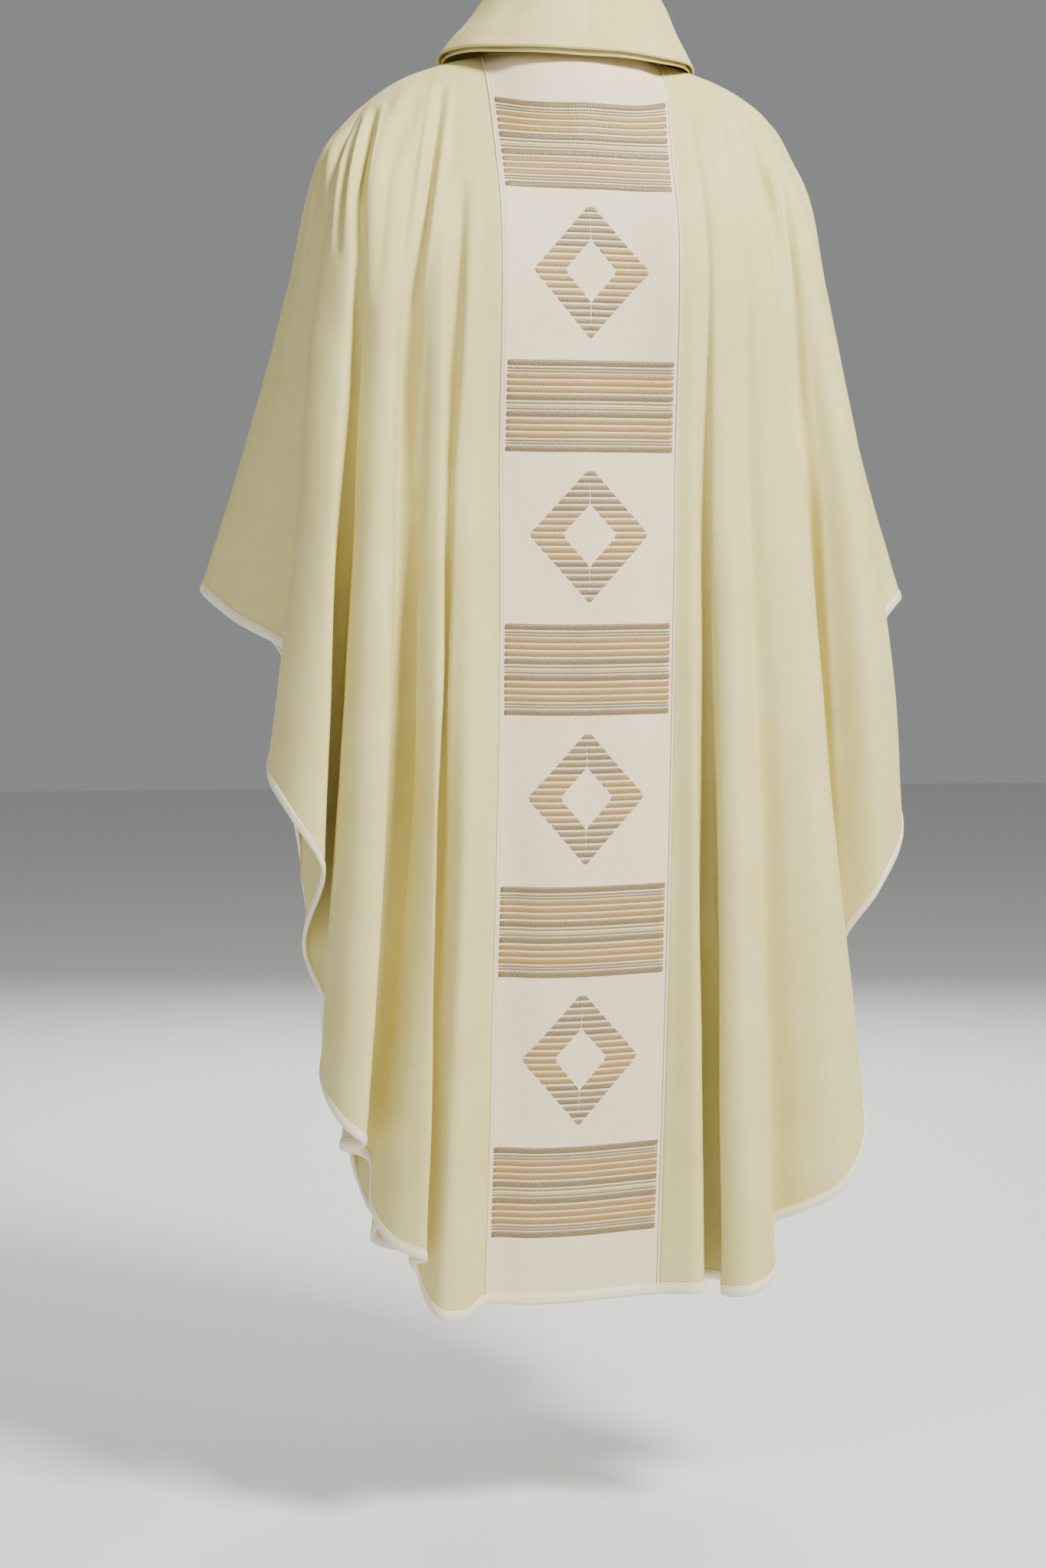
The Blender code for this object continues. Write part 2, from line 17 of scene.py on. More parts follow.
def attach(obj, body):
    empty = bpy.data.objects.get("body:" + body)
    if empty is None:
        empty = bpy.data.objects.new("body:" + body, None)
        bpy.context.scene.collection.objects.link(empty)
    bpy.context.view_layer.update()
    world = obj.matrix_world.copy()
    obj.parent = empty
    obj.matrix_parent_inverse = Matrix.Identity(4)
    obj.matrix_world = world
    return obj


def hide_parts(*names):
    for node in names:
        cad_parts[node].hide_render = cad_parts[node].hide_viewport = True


bl_info = {
    "name": "Chasuble",
    "version": (1, 0, 0),
    "blender": (4, 5, 0),
    "location": "3D View > Sidebar > Chasuble",
    "description": "Dresses the packed chasuble with cloth, stitched bands, satin edges and a stage",
    "category": "Add Mesh",
}

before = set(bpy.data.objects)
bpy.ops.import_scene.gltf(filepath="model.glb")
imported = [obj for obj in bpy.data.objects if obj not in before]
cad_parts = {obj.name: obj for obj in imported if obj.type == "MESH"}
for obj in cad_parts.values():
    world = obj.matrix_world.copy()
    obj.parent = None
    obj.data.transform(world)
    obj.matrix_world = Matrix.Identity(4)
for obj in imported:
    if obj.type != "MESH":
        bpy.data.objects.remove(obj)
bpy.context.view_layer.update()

MM = 0.001
SEAM_GAP = 0.3
NECK_HALF_WIDTH = 90.0
NECK_HALF_DEPTH = 84.0

# How far down its line each station lies, from the shoulder seam (0) to the hem (1).
STATIONS = (0.0, 0.12, 0.36, 0.66, 1.0)

# Where the last stretch of a line is taken to be straight.
NEAR_HEM = 0.97

# How far down the cloth is at its widest, where the mesh's columns are counted.
WIDE_ROW = 0.9

# A step along a line or a row, for slopes.
SMALL_STEP = 1e-3

SHARP_ANGLE = 50.0

# The way the cloth leaves the shoulder seam and the neck's edge: outward, to the back or front, up.
SHOULDER_START = (0.1, 1.35, 0.0)
NECK_START = (0.0, 0.9, -0.35)

# The shoulder seam, from the foot of the neck out to where the arm begins.
ShoulderPoint = namedtuple("ShoulderPoint", "x z")
SHOULDER = (
    ShoulderPoint(0, 0),
    ShoulderPoint(90, 6),
    ShoulderPoint(135, -5),
    ShoulderPoint(180, -24),
    ShoulderPoint(225, -58),
)

# A fold line: where it leaves the shoulder, then its place at the yoke, chest, low and hem stations.
Fold = namedtuple("Fold", "name top_x yoke_x yoke_y yoke_z chest_x chest_y low_x low_y hem_x hem_y hem_z")
BACK_FOLDS = (
    Fold("left seam", -225, -253, 3, -95, -283, 10, -324, 35, -379, 60, -547),
    Fold("left sleeve face", -219, -252, -28, -98, -279, -25, -313, 0, -346, 30, -578),
    Fold("left sleeve inner", -213, -246, -50, -105, -266, -50, -283, -34, -290, -10, -615),
    Fold("first valley", -207, -240, -62, -110, -257, -68, -266, -58, -270, -42, -662),
    Fold("first pipe edge", -201, -241, -80, -118, -275, -98, -293, -108, -322, -102, -728),
    Fold("first pipe middle", -195, -234, -93, -122, -262, -122, -281, -140, -303, -148, -775),
    Fold("first pipe inner", -189, -226, -102, -125, -246, -133, -262, -152, -274, -156, -826),
    Fold("narrow valley left", -184, -220, -104, -127, -238, -114, -258, -98, -286, -84, -916),
    Fold("narrow valley right", -179, -214, -106, -128, -230, -114, -243, -98, -257, -86, -988),
    Fold("second pipe edge", -173, -208, -112, -129, -229, -134, -247, -150, -273, -140, -1045),
    Fold("second pipe middle", -167, -199, -119, -130, -216, -150, -231, -174, -257, -176, -1078),
    Fold("second pipe inner", -160, -189, -121, -130, -202, -149, -212, -173, -236, -181, -1098),
    Fold("broad valley left", -153, -180, -118, -130, -191, -127, -206, -122, -248, -108, -1117),
    Fold("broad valley right", -146, -170, -119, -130, -178, -128, -178, -122, -222, -112, -1128),
    Fold("third pipe edge", -139, -161, -122, -130, -169, -138, -176, -147, -221, -136, -1178),
    Fold("third pipe middle", -133, -154, -124, -130, -161, -149, -169, -167, -202, -172, -1206),
    Fold("third pipe inner", -127, -147, -125, -130, -153, -152, -161, -175, -173, -187, -1217),
    Fold("thin valley left", -121, -141, -124, -130, -148, -143, -160, -151, -184, -154, -1226),
    Fold("thin valley right", -116, -136, -124, -130, -142, -142, -152, -148, -177, -147, -1240),
    Fold("fourth pipe edge", -111, -130, -126, -130, -136, -149, -145, -166, -171, -160, -1262),
    Fold("fourth pipe middle", -106, -121, -128, -130, -125, -153, -133, -179, -158, -183, -1277),
    Fold("fourth pipe inner", -99, -108, -129, -130, -110, -150, -115, -170, -134, -180, -1279),
    Fold("orphrey left seam", -90, -91, -130, -130, -92, -148, -97, -154, -110, -153, -1270),
    Fold("orphrey left", -60, -47, -134, -130, -48, -152, -52, -158, -65, -156, -1271),
    Fold("orphrey middle", 0, 0, -136, -130, -2, -153, -7, -157, -20, -155, -1271),
    Fold("orphrey right", 60, 47, -134, -130, 44, -150, 38, -154, 25, -152, -1269),
    Fold("orphrey right seam", 90, 90, -129, -130, 88, -145, 82, -149, 70, -151, -1267),
    Fold("side strip", 98, 102, -128, -130, 104, -147, 107, -161, 111, -168, -1264),
    Fold("tucked valley left", 104, 110, -125, -130, 117, -138, 120, -130, 126, -118, -1261),
    Fold("tucked valley right", 110, 117, -124, -130, 124, -137, 135, -136, 143, -126, -1262),
    Fold("fifth pipe edge", 116, 123, -126, -130, 128, -148, 130, -170, 136, -172, -1267),
    Fold("fifth pipe middle", 123, 132, -126, -130, 140, -153, 145, -181, 158, -189, -1263),
    Fold("fifth pipe outer", 131, 143, -124, -130, 152, -147, 166, -168, 190, -166, -1251),
    Fold("shallow valley", 138, 151, -120, -130, 163, -138, 179, -144, 196, -124, -1208),
    Fold("side fold inner", 146, 161, -118, -130, 180, -143, 203, -158, 226, -141, -1190),
    Fold("side fold middle", 155, 174, -113, -130, 200, -141, 229, -163, 262, -150, -1170),
    Fold("side fold outer", 164, 183, -107, -130, 214, -134, 245, -152, 288, -137, -1138),
    Fold("side fold edge", 172, 190, -101, -129, 223, -124, 253, -134, 296, -114, -1092),
    Fold("side valley left", 178, 195, -98, -127, 225, -110, 247, -104, 281, -78, -1030),
    Fold("side valley right", 183, 200, -96, -126, 230, -107, 254, -98, 280, -68, -975),
    Fold("arm fold inner", 188, 206, -94, -125, 239, -113, 264, -112, 287, -88, -912),
    Fold("arm fold middle", 193, 215, -88, -122, 253, -118, 290, -130, 318, -110, -858),
    Fold("arm fold edge", 200, 226, -76, -118, 273, -92, 319, -98, 350, -74, -797),
    Fold("arm valley", 206, 233, -58, -112, 266, -62, 286, -48, 312, -24, -676),
    Fold("right sleeve inner", 212, 240, -44, -106, 276, -42, 305, -18, 338, 8, -602),
    Fold("right sleeve face", 219, 245, -24, -100, 285, -16, 321, 10, 367, 35, -573),
    Fold("right seam", 225, 246, 3, -96, 288, 12, 329, 36, 392, 60, -553),
)
FRONT_FOLDS = (
    Fold("front right sleeve face", 218, 245, 32, -100, 285, 42, 323, 62, 372, 88, -580),
    Fold("front right sleeve inner", 211, 240, 52, -106, 273, 60, 298, 72, 326, 84, -636),
    Fold("front right arm fold edge", 203, 240, 70, -114, 266, 92, 292, 118, 330, 124, -738),
    Fold("front right arm fold inner", 195, 230, 84, -119, 250, 112, 270, 138, 300, 150, -812),
    Fold("front right valley", 187, 220, 89, -122, 238, 99, 252, 98, 280, 92, -900),
    Fold("front right side fold edge", 179, 210, 96, -124, 228, 118, 246, 144, 273, 152, -990),
    Fold("front right side fold middle", 170, 198, 104, -126, 210, 130, 226, 162, 248, 180, -1050),
    Fold("front right broad valley", 161, 188, 106, -127, 196, 114, 208, 114, 236, 112, -1098),
    Fold("front right pipe edge", 152, 177, 112, -128, 184, 128, 197, 142, 221, 144, -1140),
    Fold("front right pipe middle", 143, 165, 117, -129, 170, 139, 181, 166, 197, 182, -1180),
    Fold("front right pipe inner", 134, 153, 119, -130, 154, 138, 160, 164, 172, 180, -1206),
    Fold("front right thin valley", 124, 142, 118, -130, 141, 127, 146, 134, 157, 136, -1230),
    Fold("front right last pipe edge", 114, 130, 121, -130, 127, 138, 132, 158, 142, 165, -1254),
    Fold("front right last pipe", 102, 112, 124, -130, 108, 144, 111, 166, 117, 176, -1274),
    Fold("front orphrey right seam", 90, 90, 125, -131, 90, 145, 90, 158, 90, 161, -1284),
    Fold("front orphrey right", 60, 47, 129, -137, 46, 150, 45, 163, 45, 166, -1290),
    Fold("front orphrey middle", 0, 0, 131, -142, 0, 151, 0, 164, 0, 168, -1292),
    Fold("front orphrey left", -60, -47, 129, -137, -46, 150, -45, 163, -46, 167, -1291),
    Fold("front orphrey left seam", -90, -90, 125, -131, -90, 145, -90, 158, -91, 162, -1287),
    Fold("front left last pipe", -102, -112, 124, -130, -111, 144, -119, 167, -128, 178, -1288),
    Fold("front left last pipe middle", -112, -128, 122, -130, -129, 142, -142, 166, -158, 177, -1284),
    Fold("front left last pipe edge", -122, -141, 119, -130, -142, 134, -158, 154, -184, 164, -1272),
    Fold("front left thin valley right", -129, -149, 116, -130, -151, 124, -163, 132, -184, 136, -1246),
    Fold("front left thin valley left", -135, -156, 115, -130, -159, 123, -171, 129, -192, 130, -1230),
    Fold("front left pipe inner", -142, -163, 117, -129, -167, 138, -179, 158, -200, 160, -1210),
    Fold("front left pipe edge", -150, -172, 114, -129, -178, 135, -192, 152, -210, 150, -1172),
    Fold("front left broad valley", -159, -181, 108, -128, -189, 115, -203, 112, -216, 108, -1122),
    Fold("front left side fold middle", -168, -191, 105, -127, -201, 128, -219, 148, -231, 149, -1076),
    Fold("front left side fold edge", -177, -202, 98, -125, -217, 119, -233, 134, -244, 131, -1022),
    Fold("front left valley right", -184, -211, 90, -123, -229, 101, -237, 100, -242, 98, -964),
    Fold("front left valley left", -189, -216, 87, -121, -236, 99, -245, 98, -251, 96, -928),
    Fold("front left arm fold inner", -195, -223, 83, -119, -246, 109, -258, 122, -262, 122, -882),
    Fold("front left arm fold middle", -200, -231, 75, -116, -257, 102, -267, 122, -270, 127, -828),
    Fold("front left arm fold edge", -206, -238, 66, -113, -263, 88, -275, 102, -282, 103, -756),
    Fold("front left sleeve inner", -212, -245, 50, -106, -268, 60, -278, 68, -276, 68, -650),
    Fold("front left sleeve face", -218, -252, 32, -100, -281, 40, -310, 60, -328, 80, -572),
)
FOLDS = BACK_FOLDS + FRONT_FOLDS
LINE_OF = {fold.name: number for number, fold in enumerate(FOLDS)}

# How far the neck's edge lies below the foot of the neck at the back, and at the front.
NECK_BACK_Z = 0.0
NECK_FRONT_Z = -56.0

# The collar's section, from the leaf's free edge up over the roll and down inside to the neck seam.
CollarRing = namedtuple("CollarRing", "middle_x half_width back_y front_y back_z side_z front_z")
COLLAR_RINGS = (
    CollarRing(3, 136, -114, 120, -3, 4, -63),
    CollarRing(4, 126, -107, 113, 16, 20, -41),
    CollarRing(6, 111, -97, 102, 40, 40, -14),
    CollarRing(8, 97, -88, 92, 66, 63, 11),
    CollarRing(8, 89, -82, 85, 79, 75, 22),
    CollarRing(7, 82, -77, 79, 82, 78, 24),
    CollarRing(4, 79, -75, 77, 74, 70, 16),
    CollarRing(1, 79, -74.5, 77, 50, 46, -8),
    CollarRing(0, 82, -76.5, 78.5, 25, 26, -33),
    CollarRing(0, 87.2, -81.5, 81.5, -1, 5, -57),
)
# The leaf's free edge sits this much higher on the wearer's left, and as much lower on the right.
COLLAR_TILT = 5.5

# The whole tilt is reached where a ring is this much wider than the collar's foot.
COLLAR_TILT_REACH = 50.0

# Places down the lines where the fine cloth has a row: closer at the shoulder, where it bends over.
TOP_ROWS = 34
TOP_ROWS_END = 0.12
LOW_ROWS = 130

# Rows of cloth inside the binding, by their height above the hem.
ROWS_IN_BINDING = (11.0, 6.5, 2.0)

# A crease: a groove (depth below zero) or a ridge, along a curve through three places on the cloth.
# Each place is a fold line's number, with decimals between lines, and how far down the line it lies.
Crease = namedtuple("Crease", "name width depth line_1 down_1 line_2 down_2 line_3 down_3")
CREASES = (
    Crease("outer sleeve crease", 5, -3.5, 1.3, 0.08, 1.3, 0.20, 1.2, 0.33),
    Crease("first fold's crest", 8, 6.0, 1.9, 0.07, 2.2, 0.16, 3.6, 0.32),
    Crease("short gather", 4, -4.0, 3.0, 0.06, 3.2, 0.11, 3.4, 0.17),
    Crease("second gather", 5, -5.5, 4.1, 0.065, 4.8, 0.15, 5.2, 0.25),
    Crease("first valley's head", 6, -10.0, 5.5, 0.05, 6.4, 0.12, 7.1, 0.22),
    Crease("crest beside the first valley", 8, 6.0, 8.2, 0.06, 8.8, 0.14, 9.2, 0.26),
    Crease("soft yoke crease", 8, -3.4, 11.6, 0.05, 10.9, 0.08, 10.2, 0.13),
    Crease("broad valley's head", 6, -9.5, 15.5, 0.045, 14.0, 0.145, 12.6, 0.26),
    Crease("broad valley's middle", 9, -6.0, 13.2, 0.20, 12.4, 0.33, 12.0, 0.50),
    Crease("thin valley's head", 7, -7.0, 19.4, 0.12, 18.7, 0.24, 17.6, 0.38),
    Crease("broad valley's foot", 13, -9.0, 13.1, 0.40, 12.7, 0.66, 12.5, 0.93),
    Crease("thin valley's foot", 8, -8.0, 17.5, 0.33, 17.5, 0.60, 17.5, 0.88),
    Crease("tucked valley's foot", 8, -6.0, 28.5, 0.30, 28.5, 0.60, 28.5, 0.88),
    Crease("side valley's foot", 10, -5.0, 38.5, 0.42, 38.5, 0.60, 38.5, 0.80),
    Crease("right yoke crease", 7, -2.2, 33.4, 0.05, 32.9, 0.095, 31.8, 0.16),
    Crease("shallow right valley", 11, -3.0, 31.0, 0.17, 31.2, 0.29, 31.3, 0.44),
    Crease("right shoulder valley", 7, -6.5, 35.9, 0.06, 36.8, 0.13, 36.3, 0.21),
    Crease("right shoulder valley's foot", 9, -3.5, 36.3, 0.17, 36.4, 0.26, 36.6, 0.36),
    Crease("right arm crease", 6, -5.5, 40.7, 0.09, 39.7, 0.18, 39.2, 0.27),
    Crease("right arm crease's foot", 8, -3.0, 39.3, 0.23, 38.4, 0.31, 37.2, 0.40),
    Crease("right sleeve crease", 6, -2.5, 43.2, 0.09, 43.0, 0.20, 42.6, 0.36),
    Crease("front right gather", 6, -3.5, 48.5, 0.06, 49.2, 0.14, 49.7, 0.27),
    Crease("front right yoke crease", 8, -3.0, 52.6, 0.05, 52.0, 0.12, 51.2, 0.22),
    Crease("front right soft crease", 9, -2.6, 57.4, 0.07, 56.6, 0.16, 56.1, 0.30),
    Crease("front left soft crease", 9, -2.6, 69.3, 0.06, 69.9, 0.15, 70.2, 0.27),
    Crease("front left yoke crease", 7, -3.2, 73.0, 0.05, 73.8, 0.13, 74.1, 0.25),
    Crease("front left gather", 6, -3.6, 77.2, 0.07, 76.5, 0.15, 76.0, 0.26),
    Crease("front left sleeve crease", 6, -2.4, 79.6, 0.09, 79.2, 0.18, 79.0, 0.31),
)
CREASE_STEPS = 90
CREASE_LINES_REACHED = 7

# The lip that a crease throws up beside it: its share of the depth, how many widths away, how narrow.
CREASE_LIP = 0.35
CREASE_LIP_PLACE = 1.6
CREASE_LIP_NARROWNESS = 2.5
CREASE_TAPER = 0.7

# Soft waves all over the cloth: wavelength across and down, and height.
Wave = namedtuple("Wave", "across down height seed")
WAVES = (
    Wave(85.0, 260.0, 1.5, 3.1),
    Wave(34.0, 120.0, 0.55, 17.7),
    Wave(15.0, 42.0, 0.16, 41.3),
)
WAVES_START = 0.07

# The stitched groups of bars down the band, from the neck's edge: where each starts.
BAR_GROUPS = (72.0, 336.0, 600.0, 864.0, 1128.0)
Bar = namedtuple("Bar", "height gap thread")
BAR_GROUP = (
    Bar(6.8, 0.9, "taupe"),
    Bar(2.2, 0.7, "grey"),
    Bar(2.2, 0.8, "grey"),
    Bar(6.0, 0.9, "gold"),
    Bar(6.0, 0.9, "gold"),
    Bar(6.0, 1.0, "gold"),
    Bar(6.8, 1.0, "taupe"),
    Bar(2.2, 0.7, "grey"),
    Bar(2.2, 0.7, "cream"),
    Bar(2.2, 0.8, "grey"),
    Bar(6.8, 1.0, "taupe"),
    Bar(6.0, 0.9, "gold"),
    Bar(6.0, 0.9, "gold"),
    Bar(6.0, 1.0, "gold"),
    Bar(2.2, 0.7, "grey"),
    Bar(2.2, 0.9, "grey"),
    Bar(6.8, 0.0, "taupe"),
)
BAR_HALF_WIDTH = 0.965

# Lozenges between the groups, made of short bars on each side of an open middle.
LOZENGE_CENTRES = (247.0, 511.0, 775.0, 1039.0)
LOZENGE_HALF_HEIGHT = 68.0
LOZENGE_HALF_WIDTH = 62.0
LOZENGE_OPENING = 0.45
LOZENGE_BAR = 5.6
LOZENGE_PITCH = 7.0

# Bars that reach further out than this share of the lozenge are gold.
LOZENGE_GOLD = 0.62

THREADS = {"taupe": "6f5d3c", "gold": "98763a", "grey": "7e6e49", "cream": "d8c794"}


def linear(colour):
    """An sRGB hex colour as linear red, green and blue."""
    channels = [int(colour[place : place + 2], 16) / 255 for place in (0, 2, 4)]
    return tuple(c / 12.92 if c <= 0.04045 else ((c + 0.055) / 1.055) ** 2.4 for c in channels)


def tangents(points, knots, closed):
    """The slope at each point of a smooth curve through them, with uneven steps between the knots."""
    steps = np.diff(knots, axis=0)
    slopes = np.diff(points, axis=0) / steps[..., None]
    if closed:
        before, after = np.roll(slopes, 1, axis=0), slopes
        step_before, step_after = np.roll(steps, 1, axis=0), steps
        blend = (step_before / (step_before + step_after))[..., None]
        inner = before * (1 - blend) + after * blend
        return np.concatenate([inner, inner[:1]])
    blend = (steps[:-1] / (steps[:-1] + steps[1:]))[..., None]
    inner = slopes[:-1] * (1 - blend) + slopes[1:] * blend
    first = 1.5 * slopes[0] - 0.5 * inner[0]
    last = 1.5 * slopes[-1] - 0.5 * inner[-1]
    return np.concatenate([first[None], inner, last[None]])


def hermite(start, end, start_slope, end_slope, step, along):
    """Points of the curve between start and end, where along runs from 0 to 1."""
    square, cube = along**2, along**3
    return (
        (2 * cube - 3 * square + 1) * start
        + (cube - 2 * square + along) * step * start_slope
        + (3 * square - 2 * cube) * end
        + (cube - square) * step * end_slope
    )


def smooth_step(values):
    """0 below 0, 1 above 1, and a soft rise between."""
    values = np.clip(values, 0.0, 1.0)
    return values * values * (3 - 2 * values)


def shoulder_z(x):
    """The shoulder seam's height at distances from the neck's centre."""
    distance = np.abs(np.asarray(x, float))
    xs = np.array([point.x for point in SHOULDER], float)
    heights = np.array([point.z for point in SHOULDER], float)
    slopes = tangents(heights[:, None], xs, closed=False)[:, 0]
    span = np.clip(np.searchsorted(xs, distance) - 1, 0, len(xs) - 2)
    step = xs[span + 1] - xs[span]
    along = (distance - xs[span]) / step
    return hermite(heights[span], heights[span + 1], slopes[span], slopes[span + 1], step, along)


def shoulder_outward(x):
    """The directions square to the shoulder seam, up and out."""
    slope = (shoulder_z(np.abs(x) + 0.5) - shoulder_z(np.abs(x) - 0.5)) * np.sign(x)
    direction = np.stack([-slope, np.zeros_like(slope), np.ones_like(slope)], axis=-1)
    return direction / np.linalg.norm(direction, axis=-1, keepdims=True)


def is_orphrey(fold):
    """Whether the line starts at the neck's edge and not on the shoulder seam."""
    return abs(fold.top_x) < NECK_HALF_WIDTH


def neck_point(angle, side):
    """Points of the neck's edge, where angle 0 is the middle of the back or the front."""
    edge_z = NECK_BACK_Z if side < 0 else NECK_FRONT_Z
    corner_z = shoulder_z(NECK_HALF_WIDTH)
    height = corner_z + (edge_z - corner_z) * np.cos(angle) ** 2
    return np.stack(
        [NECK_HALF_WIDTH * np.sin(angle), side * NECK_HALF_DEPTH * np.cos(angle), height], axis=-1
    )


def top_point(fold, side):
    """Where the line starts: on the neck's edge or on the shoulder seam. Side is -1 for the back."""
    if is_orphrey(fold):
        return neck_point(np.arcsin(fold.top_x / NECK_HALF_WIDTH), side)
    return np.array([fold.top_x, side * SEAM_GAP / 2, float(shoulder_z(fold.top_x))])


def station_points(fold, side):
    """The line's five stations, with the heights of the middle ones shared out between yoke and hem."""
    points = [top_point(fold, side), np.array([fold.yoke_x, fold.yoke_y, fold.yoke_z], float)]
    yoke, hem = STATIONS[1], STATIONS[4]
    for station, x, y in ((STATIONS[2], fold.chest_x, fold.chest_y), (STATIONS[3], fold.low_x, fold.low_y)):
        share = (station - yoke) / (hem - yoke)
        points.append(np.array([x, y, fold.yoke_z + (fold.hem_z - fold.yoke_z) * share]))
    points.append(np.array([fold.hem_x, fold.hem_y, fold.hem_z], float))
    return np.array(points)


def line_points(rows_down):
    """Every fold line's points at the given places down: an array of rows, lines and coordinates."""
    knots = np.array(STATIONS)
    downs = np.asarray(rows_down, float)
    span = np.clip(np.searchsorted(knots, downs) - 1, 0, len(knots) - 2)
    step = (knots[span + 1] - knots[span])[:, None]
    along = (downs - knots[span])[:, None] / step
    lines = []
    for number, fold in enumerate(FOLDS):
        side = -1 if number < len(BACK_FOLDS) else 1
        points = station_points(fold, side)
        slopes = tangents(points, knots, closed=False)
        if fold.name not in ("left seam", "right seam"):
            reach = np.linalg.norm(points[1] - points[0]) / knots[1]
            start = NECK_START if is_orphrey(fold) else SHOULDER_START
            slopes[0] = np.array([start[0] * np.sign(fold.top_x), start[1] * side, start[2]]) * reach
        lines.append(hermite(points[span], points[span + 1], slopes[span], slopes[span + 1], step, along))
    return np.array(lines).transpose(1, 0, 2)


def ring_points(lines, columns):
    """The surface's points where each row crosses the given columns.

    A column is a number such as 3.5, halfway between lines 3 and 4.
    """
    count = lines.shape[1]
    closed = np.concatenate([lines, lines[:, :1]], axis=1).transpose(1, 0, 2)
    lengths = np.linalg.norm(np.diff(closed, axis=0), axis=2)
    knots = np.concatenate([np.zeros((1, lengths.shape[1])), np.cumsum(np.sqrt(lengths + 1e-6), axis=0)])
    slopes = tangents(closed, knots, closed=True)
    columns = np.asarray(columns, float)
    span = np.floor(columns).astype(int) % count
    along = (columns - np.floor(columns))[:, None, None]
    step = (knots[span + 1] - knots[span])[..., None]
    points = hermite(closed[span], closed[span + 1], slopes[span], slopes[span + 1], step, along)
    return points.transpose(1, 0, 2)


def plain_surface(rows_down, columns):
    """Points of the plain cloth's middle surface and its outward directions, as rows by columns."""
    rows_down = np.asarray(rows_down, float)
    columns = np.asarray(columns, float)
    lines = line_points(rows_down)
    points = ring_points(lines, columns)
    around = ring_points(lines, columns + SMALL_STEP) - ring_points(lines, columns - SMALL_STEP)
    below = ring_points(line_points(np.minimum(rows_down + SMALL_STEP, 1.0)), columns)
    above = ring_points(line_points(np.maximum(rows_down - SMALL_STEP, 0.0)), columns)
    outward = np.cross(below - above, around)
    outward /= np.linalg.norm(outward, axis=2, keepdims=True)
    return points, outward


def crease_path(crease):
    """Points along a crease on the plain surface."""
    along = np.linspace(0.0, 1.0, CREASE_STEPS)
    first, middle, last = (1 - along) * (1 - 2 * along), 4 * along * (1 - along), along * (2 * along - 1)
    numbers = crease.line_1 * first + crease.line_2 * middle + crease.line_3 * last
    downs = crease.down_1 * first + crease.down_2 * middle + crease.down_3 * last
    lines = line_points(downs)
    places = range(CREASE_STEPS)
    return np.array([ring_points(lines[place : place + 1], (numbers[place],))[0, 0] for place in places])


def crease_relief(points, columns, crease):
    """How far a crease moves each point outwards, in millimetres."""
    path = crease_path(crease)
    lowest = min(crease.line_1, crease.line_2, crease.line_3) - CREASE_LINES_REACHED
    highest = max(crease.line_1, crease.line_2, crease.line_3) + CREASE_LINES_REACHED
    near = (np.asarray(columns) > lowest) & (np.asarray(columns) < highest)
    relief = np.zeros(points.shape[:2])
    if not near.any():
        return relief
    some = points[:, near]
    gaps = np.linalg.norm(some[:, :, None, :] - path[None, None], axis=3)
    nearest = gaps.argmin(axis=2)
    distance = gaps.min(axis=2) / crease.width
    along = nearest / (CREASE_STEPS - 1)
    taper = np.sin(np.pi * along) ** CREASE_TAPER
    lip = np.exp(-((distance - CREASE_LIP_PLACE) ** 2) * CREASE_LIP_NARROWNESS)
    profile = np.exp(-(distance**2)) - CREASE_LIP * lip
    relief[:, near] = crease.depth * profile * taper
    return relief


def relief(points, rows_down, columns):
    """The waves and creases that the fine cloth has on top of the plain surface, in millimetres."""
    total = np.zeros(points.shape[:2])
    for wave in WAVES:
        scale = (1 / wave.across, 1 / wave.across, 1 / wave.down)
        flat = points.reshape(-1, 3) * scale + wave.seed
        heights = np.array([noise.noise(Vector(place)) for place in flat])
        total += heights.reshape(total.shape) * wave.height * 2
    total *= smooth_step(np.asarray(rows_down) / WAVES_START)[:, None]
    for crease in CREASES:
        total += crease_relief(points, columns, crease)
    return total


def cloth_surface(rows_down, columns):
    """Points of the fine cloth's middle surface, in millimetres, and its outward directions."""
    points, outward = plain_surface(rows_down, columns)
    points = points + outward * relief(points, rows_down, columns)[..., None]
    return points, outward


def hem_rows(columns, heights):
    """Points at heights above the hem, along each line, with their outward directions."""
    points, outward = cloth_surface((NEAR_HEM, 1.0), columns)
    up = points[0] - points[1]
    up /= np.linalg.norm(up, axis=1, keepdims=True)
    places = np.array([points[1] + up * height for height in heights])
    return places, np.repeat(outward[1:], len(heights), axis=0)


def fine_rows():
    """Places down the lines for the fine cloth's rows, before those in the binding."""
    top = np.linspace(0.0, TOP_ROWS_END, TOP_ROWS, endpoint=False)
    return np.concatenate([top, np.linspace(TOP_ROWS_END, NEAR_HEM, LOW_ROWS)])


def fine_columns(first, last, pitch):
    """Columns from one fold line to another, one for each pitch of cloth at its widest."""
    lines = line_points((WIDE_ROW,))[0]
    columns = []
    for line in range(first, last):
        width = np.linalg.norm(lines[(line + 1) % len(FOLDS)] - lines[line % len(FOLDS)])
        pieces = max(2, int(round(width / pitch)))
        columns += [line + piece / pieces for piece in range(pieces)]
    return np.array(columns + [last], float)


def flat_places(points):
    """Each point's place on the flat cloth, across and down, in millimetres."""
    across = np.linalg.norm(np.diff(points, axis=1), axis=2)
    down = np.linalg.norm(np.diff(points, axis=0), axis=2)
    across = np.concatenate([np.zeros((len(points), 1)), np.cumsum(across, axis=1)], axis=1)
    down = np.concatenate([np.zeros((1, points.shape[1])), np.cumsum(down, axis=0)])
    middle = across[len(points) // 2]
    return np.stack([np.broadcast_to(middle, down.shape), down], axis=2)


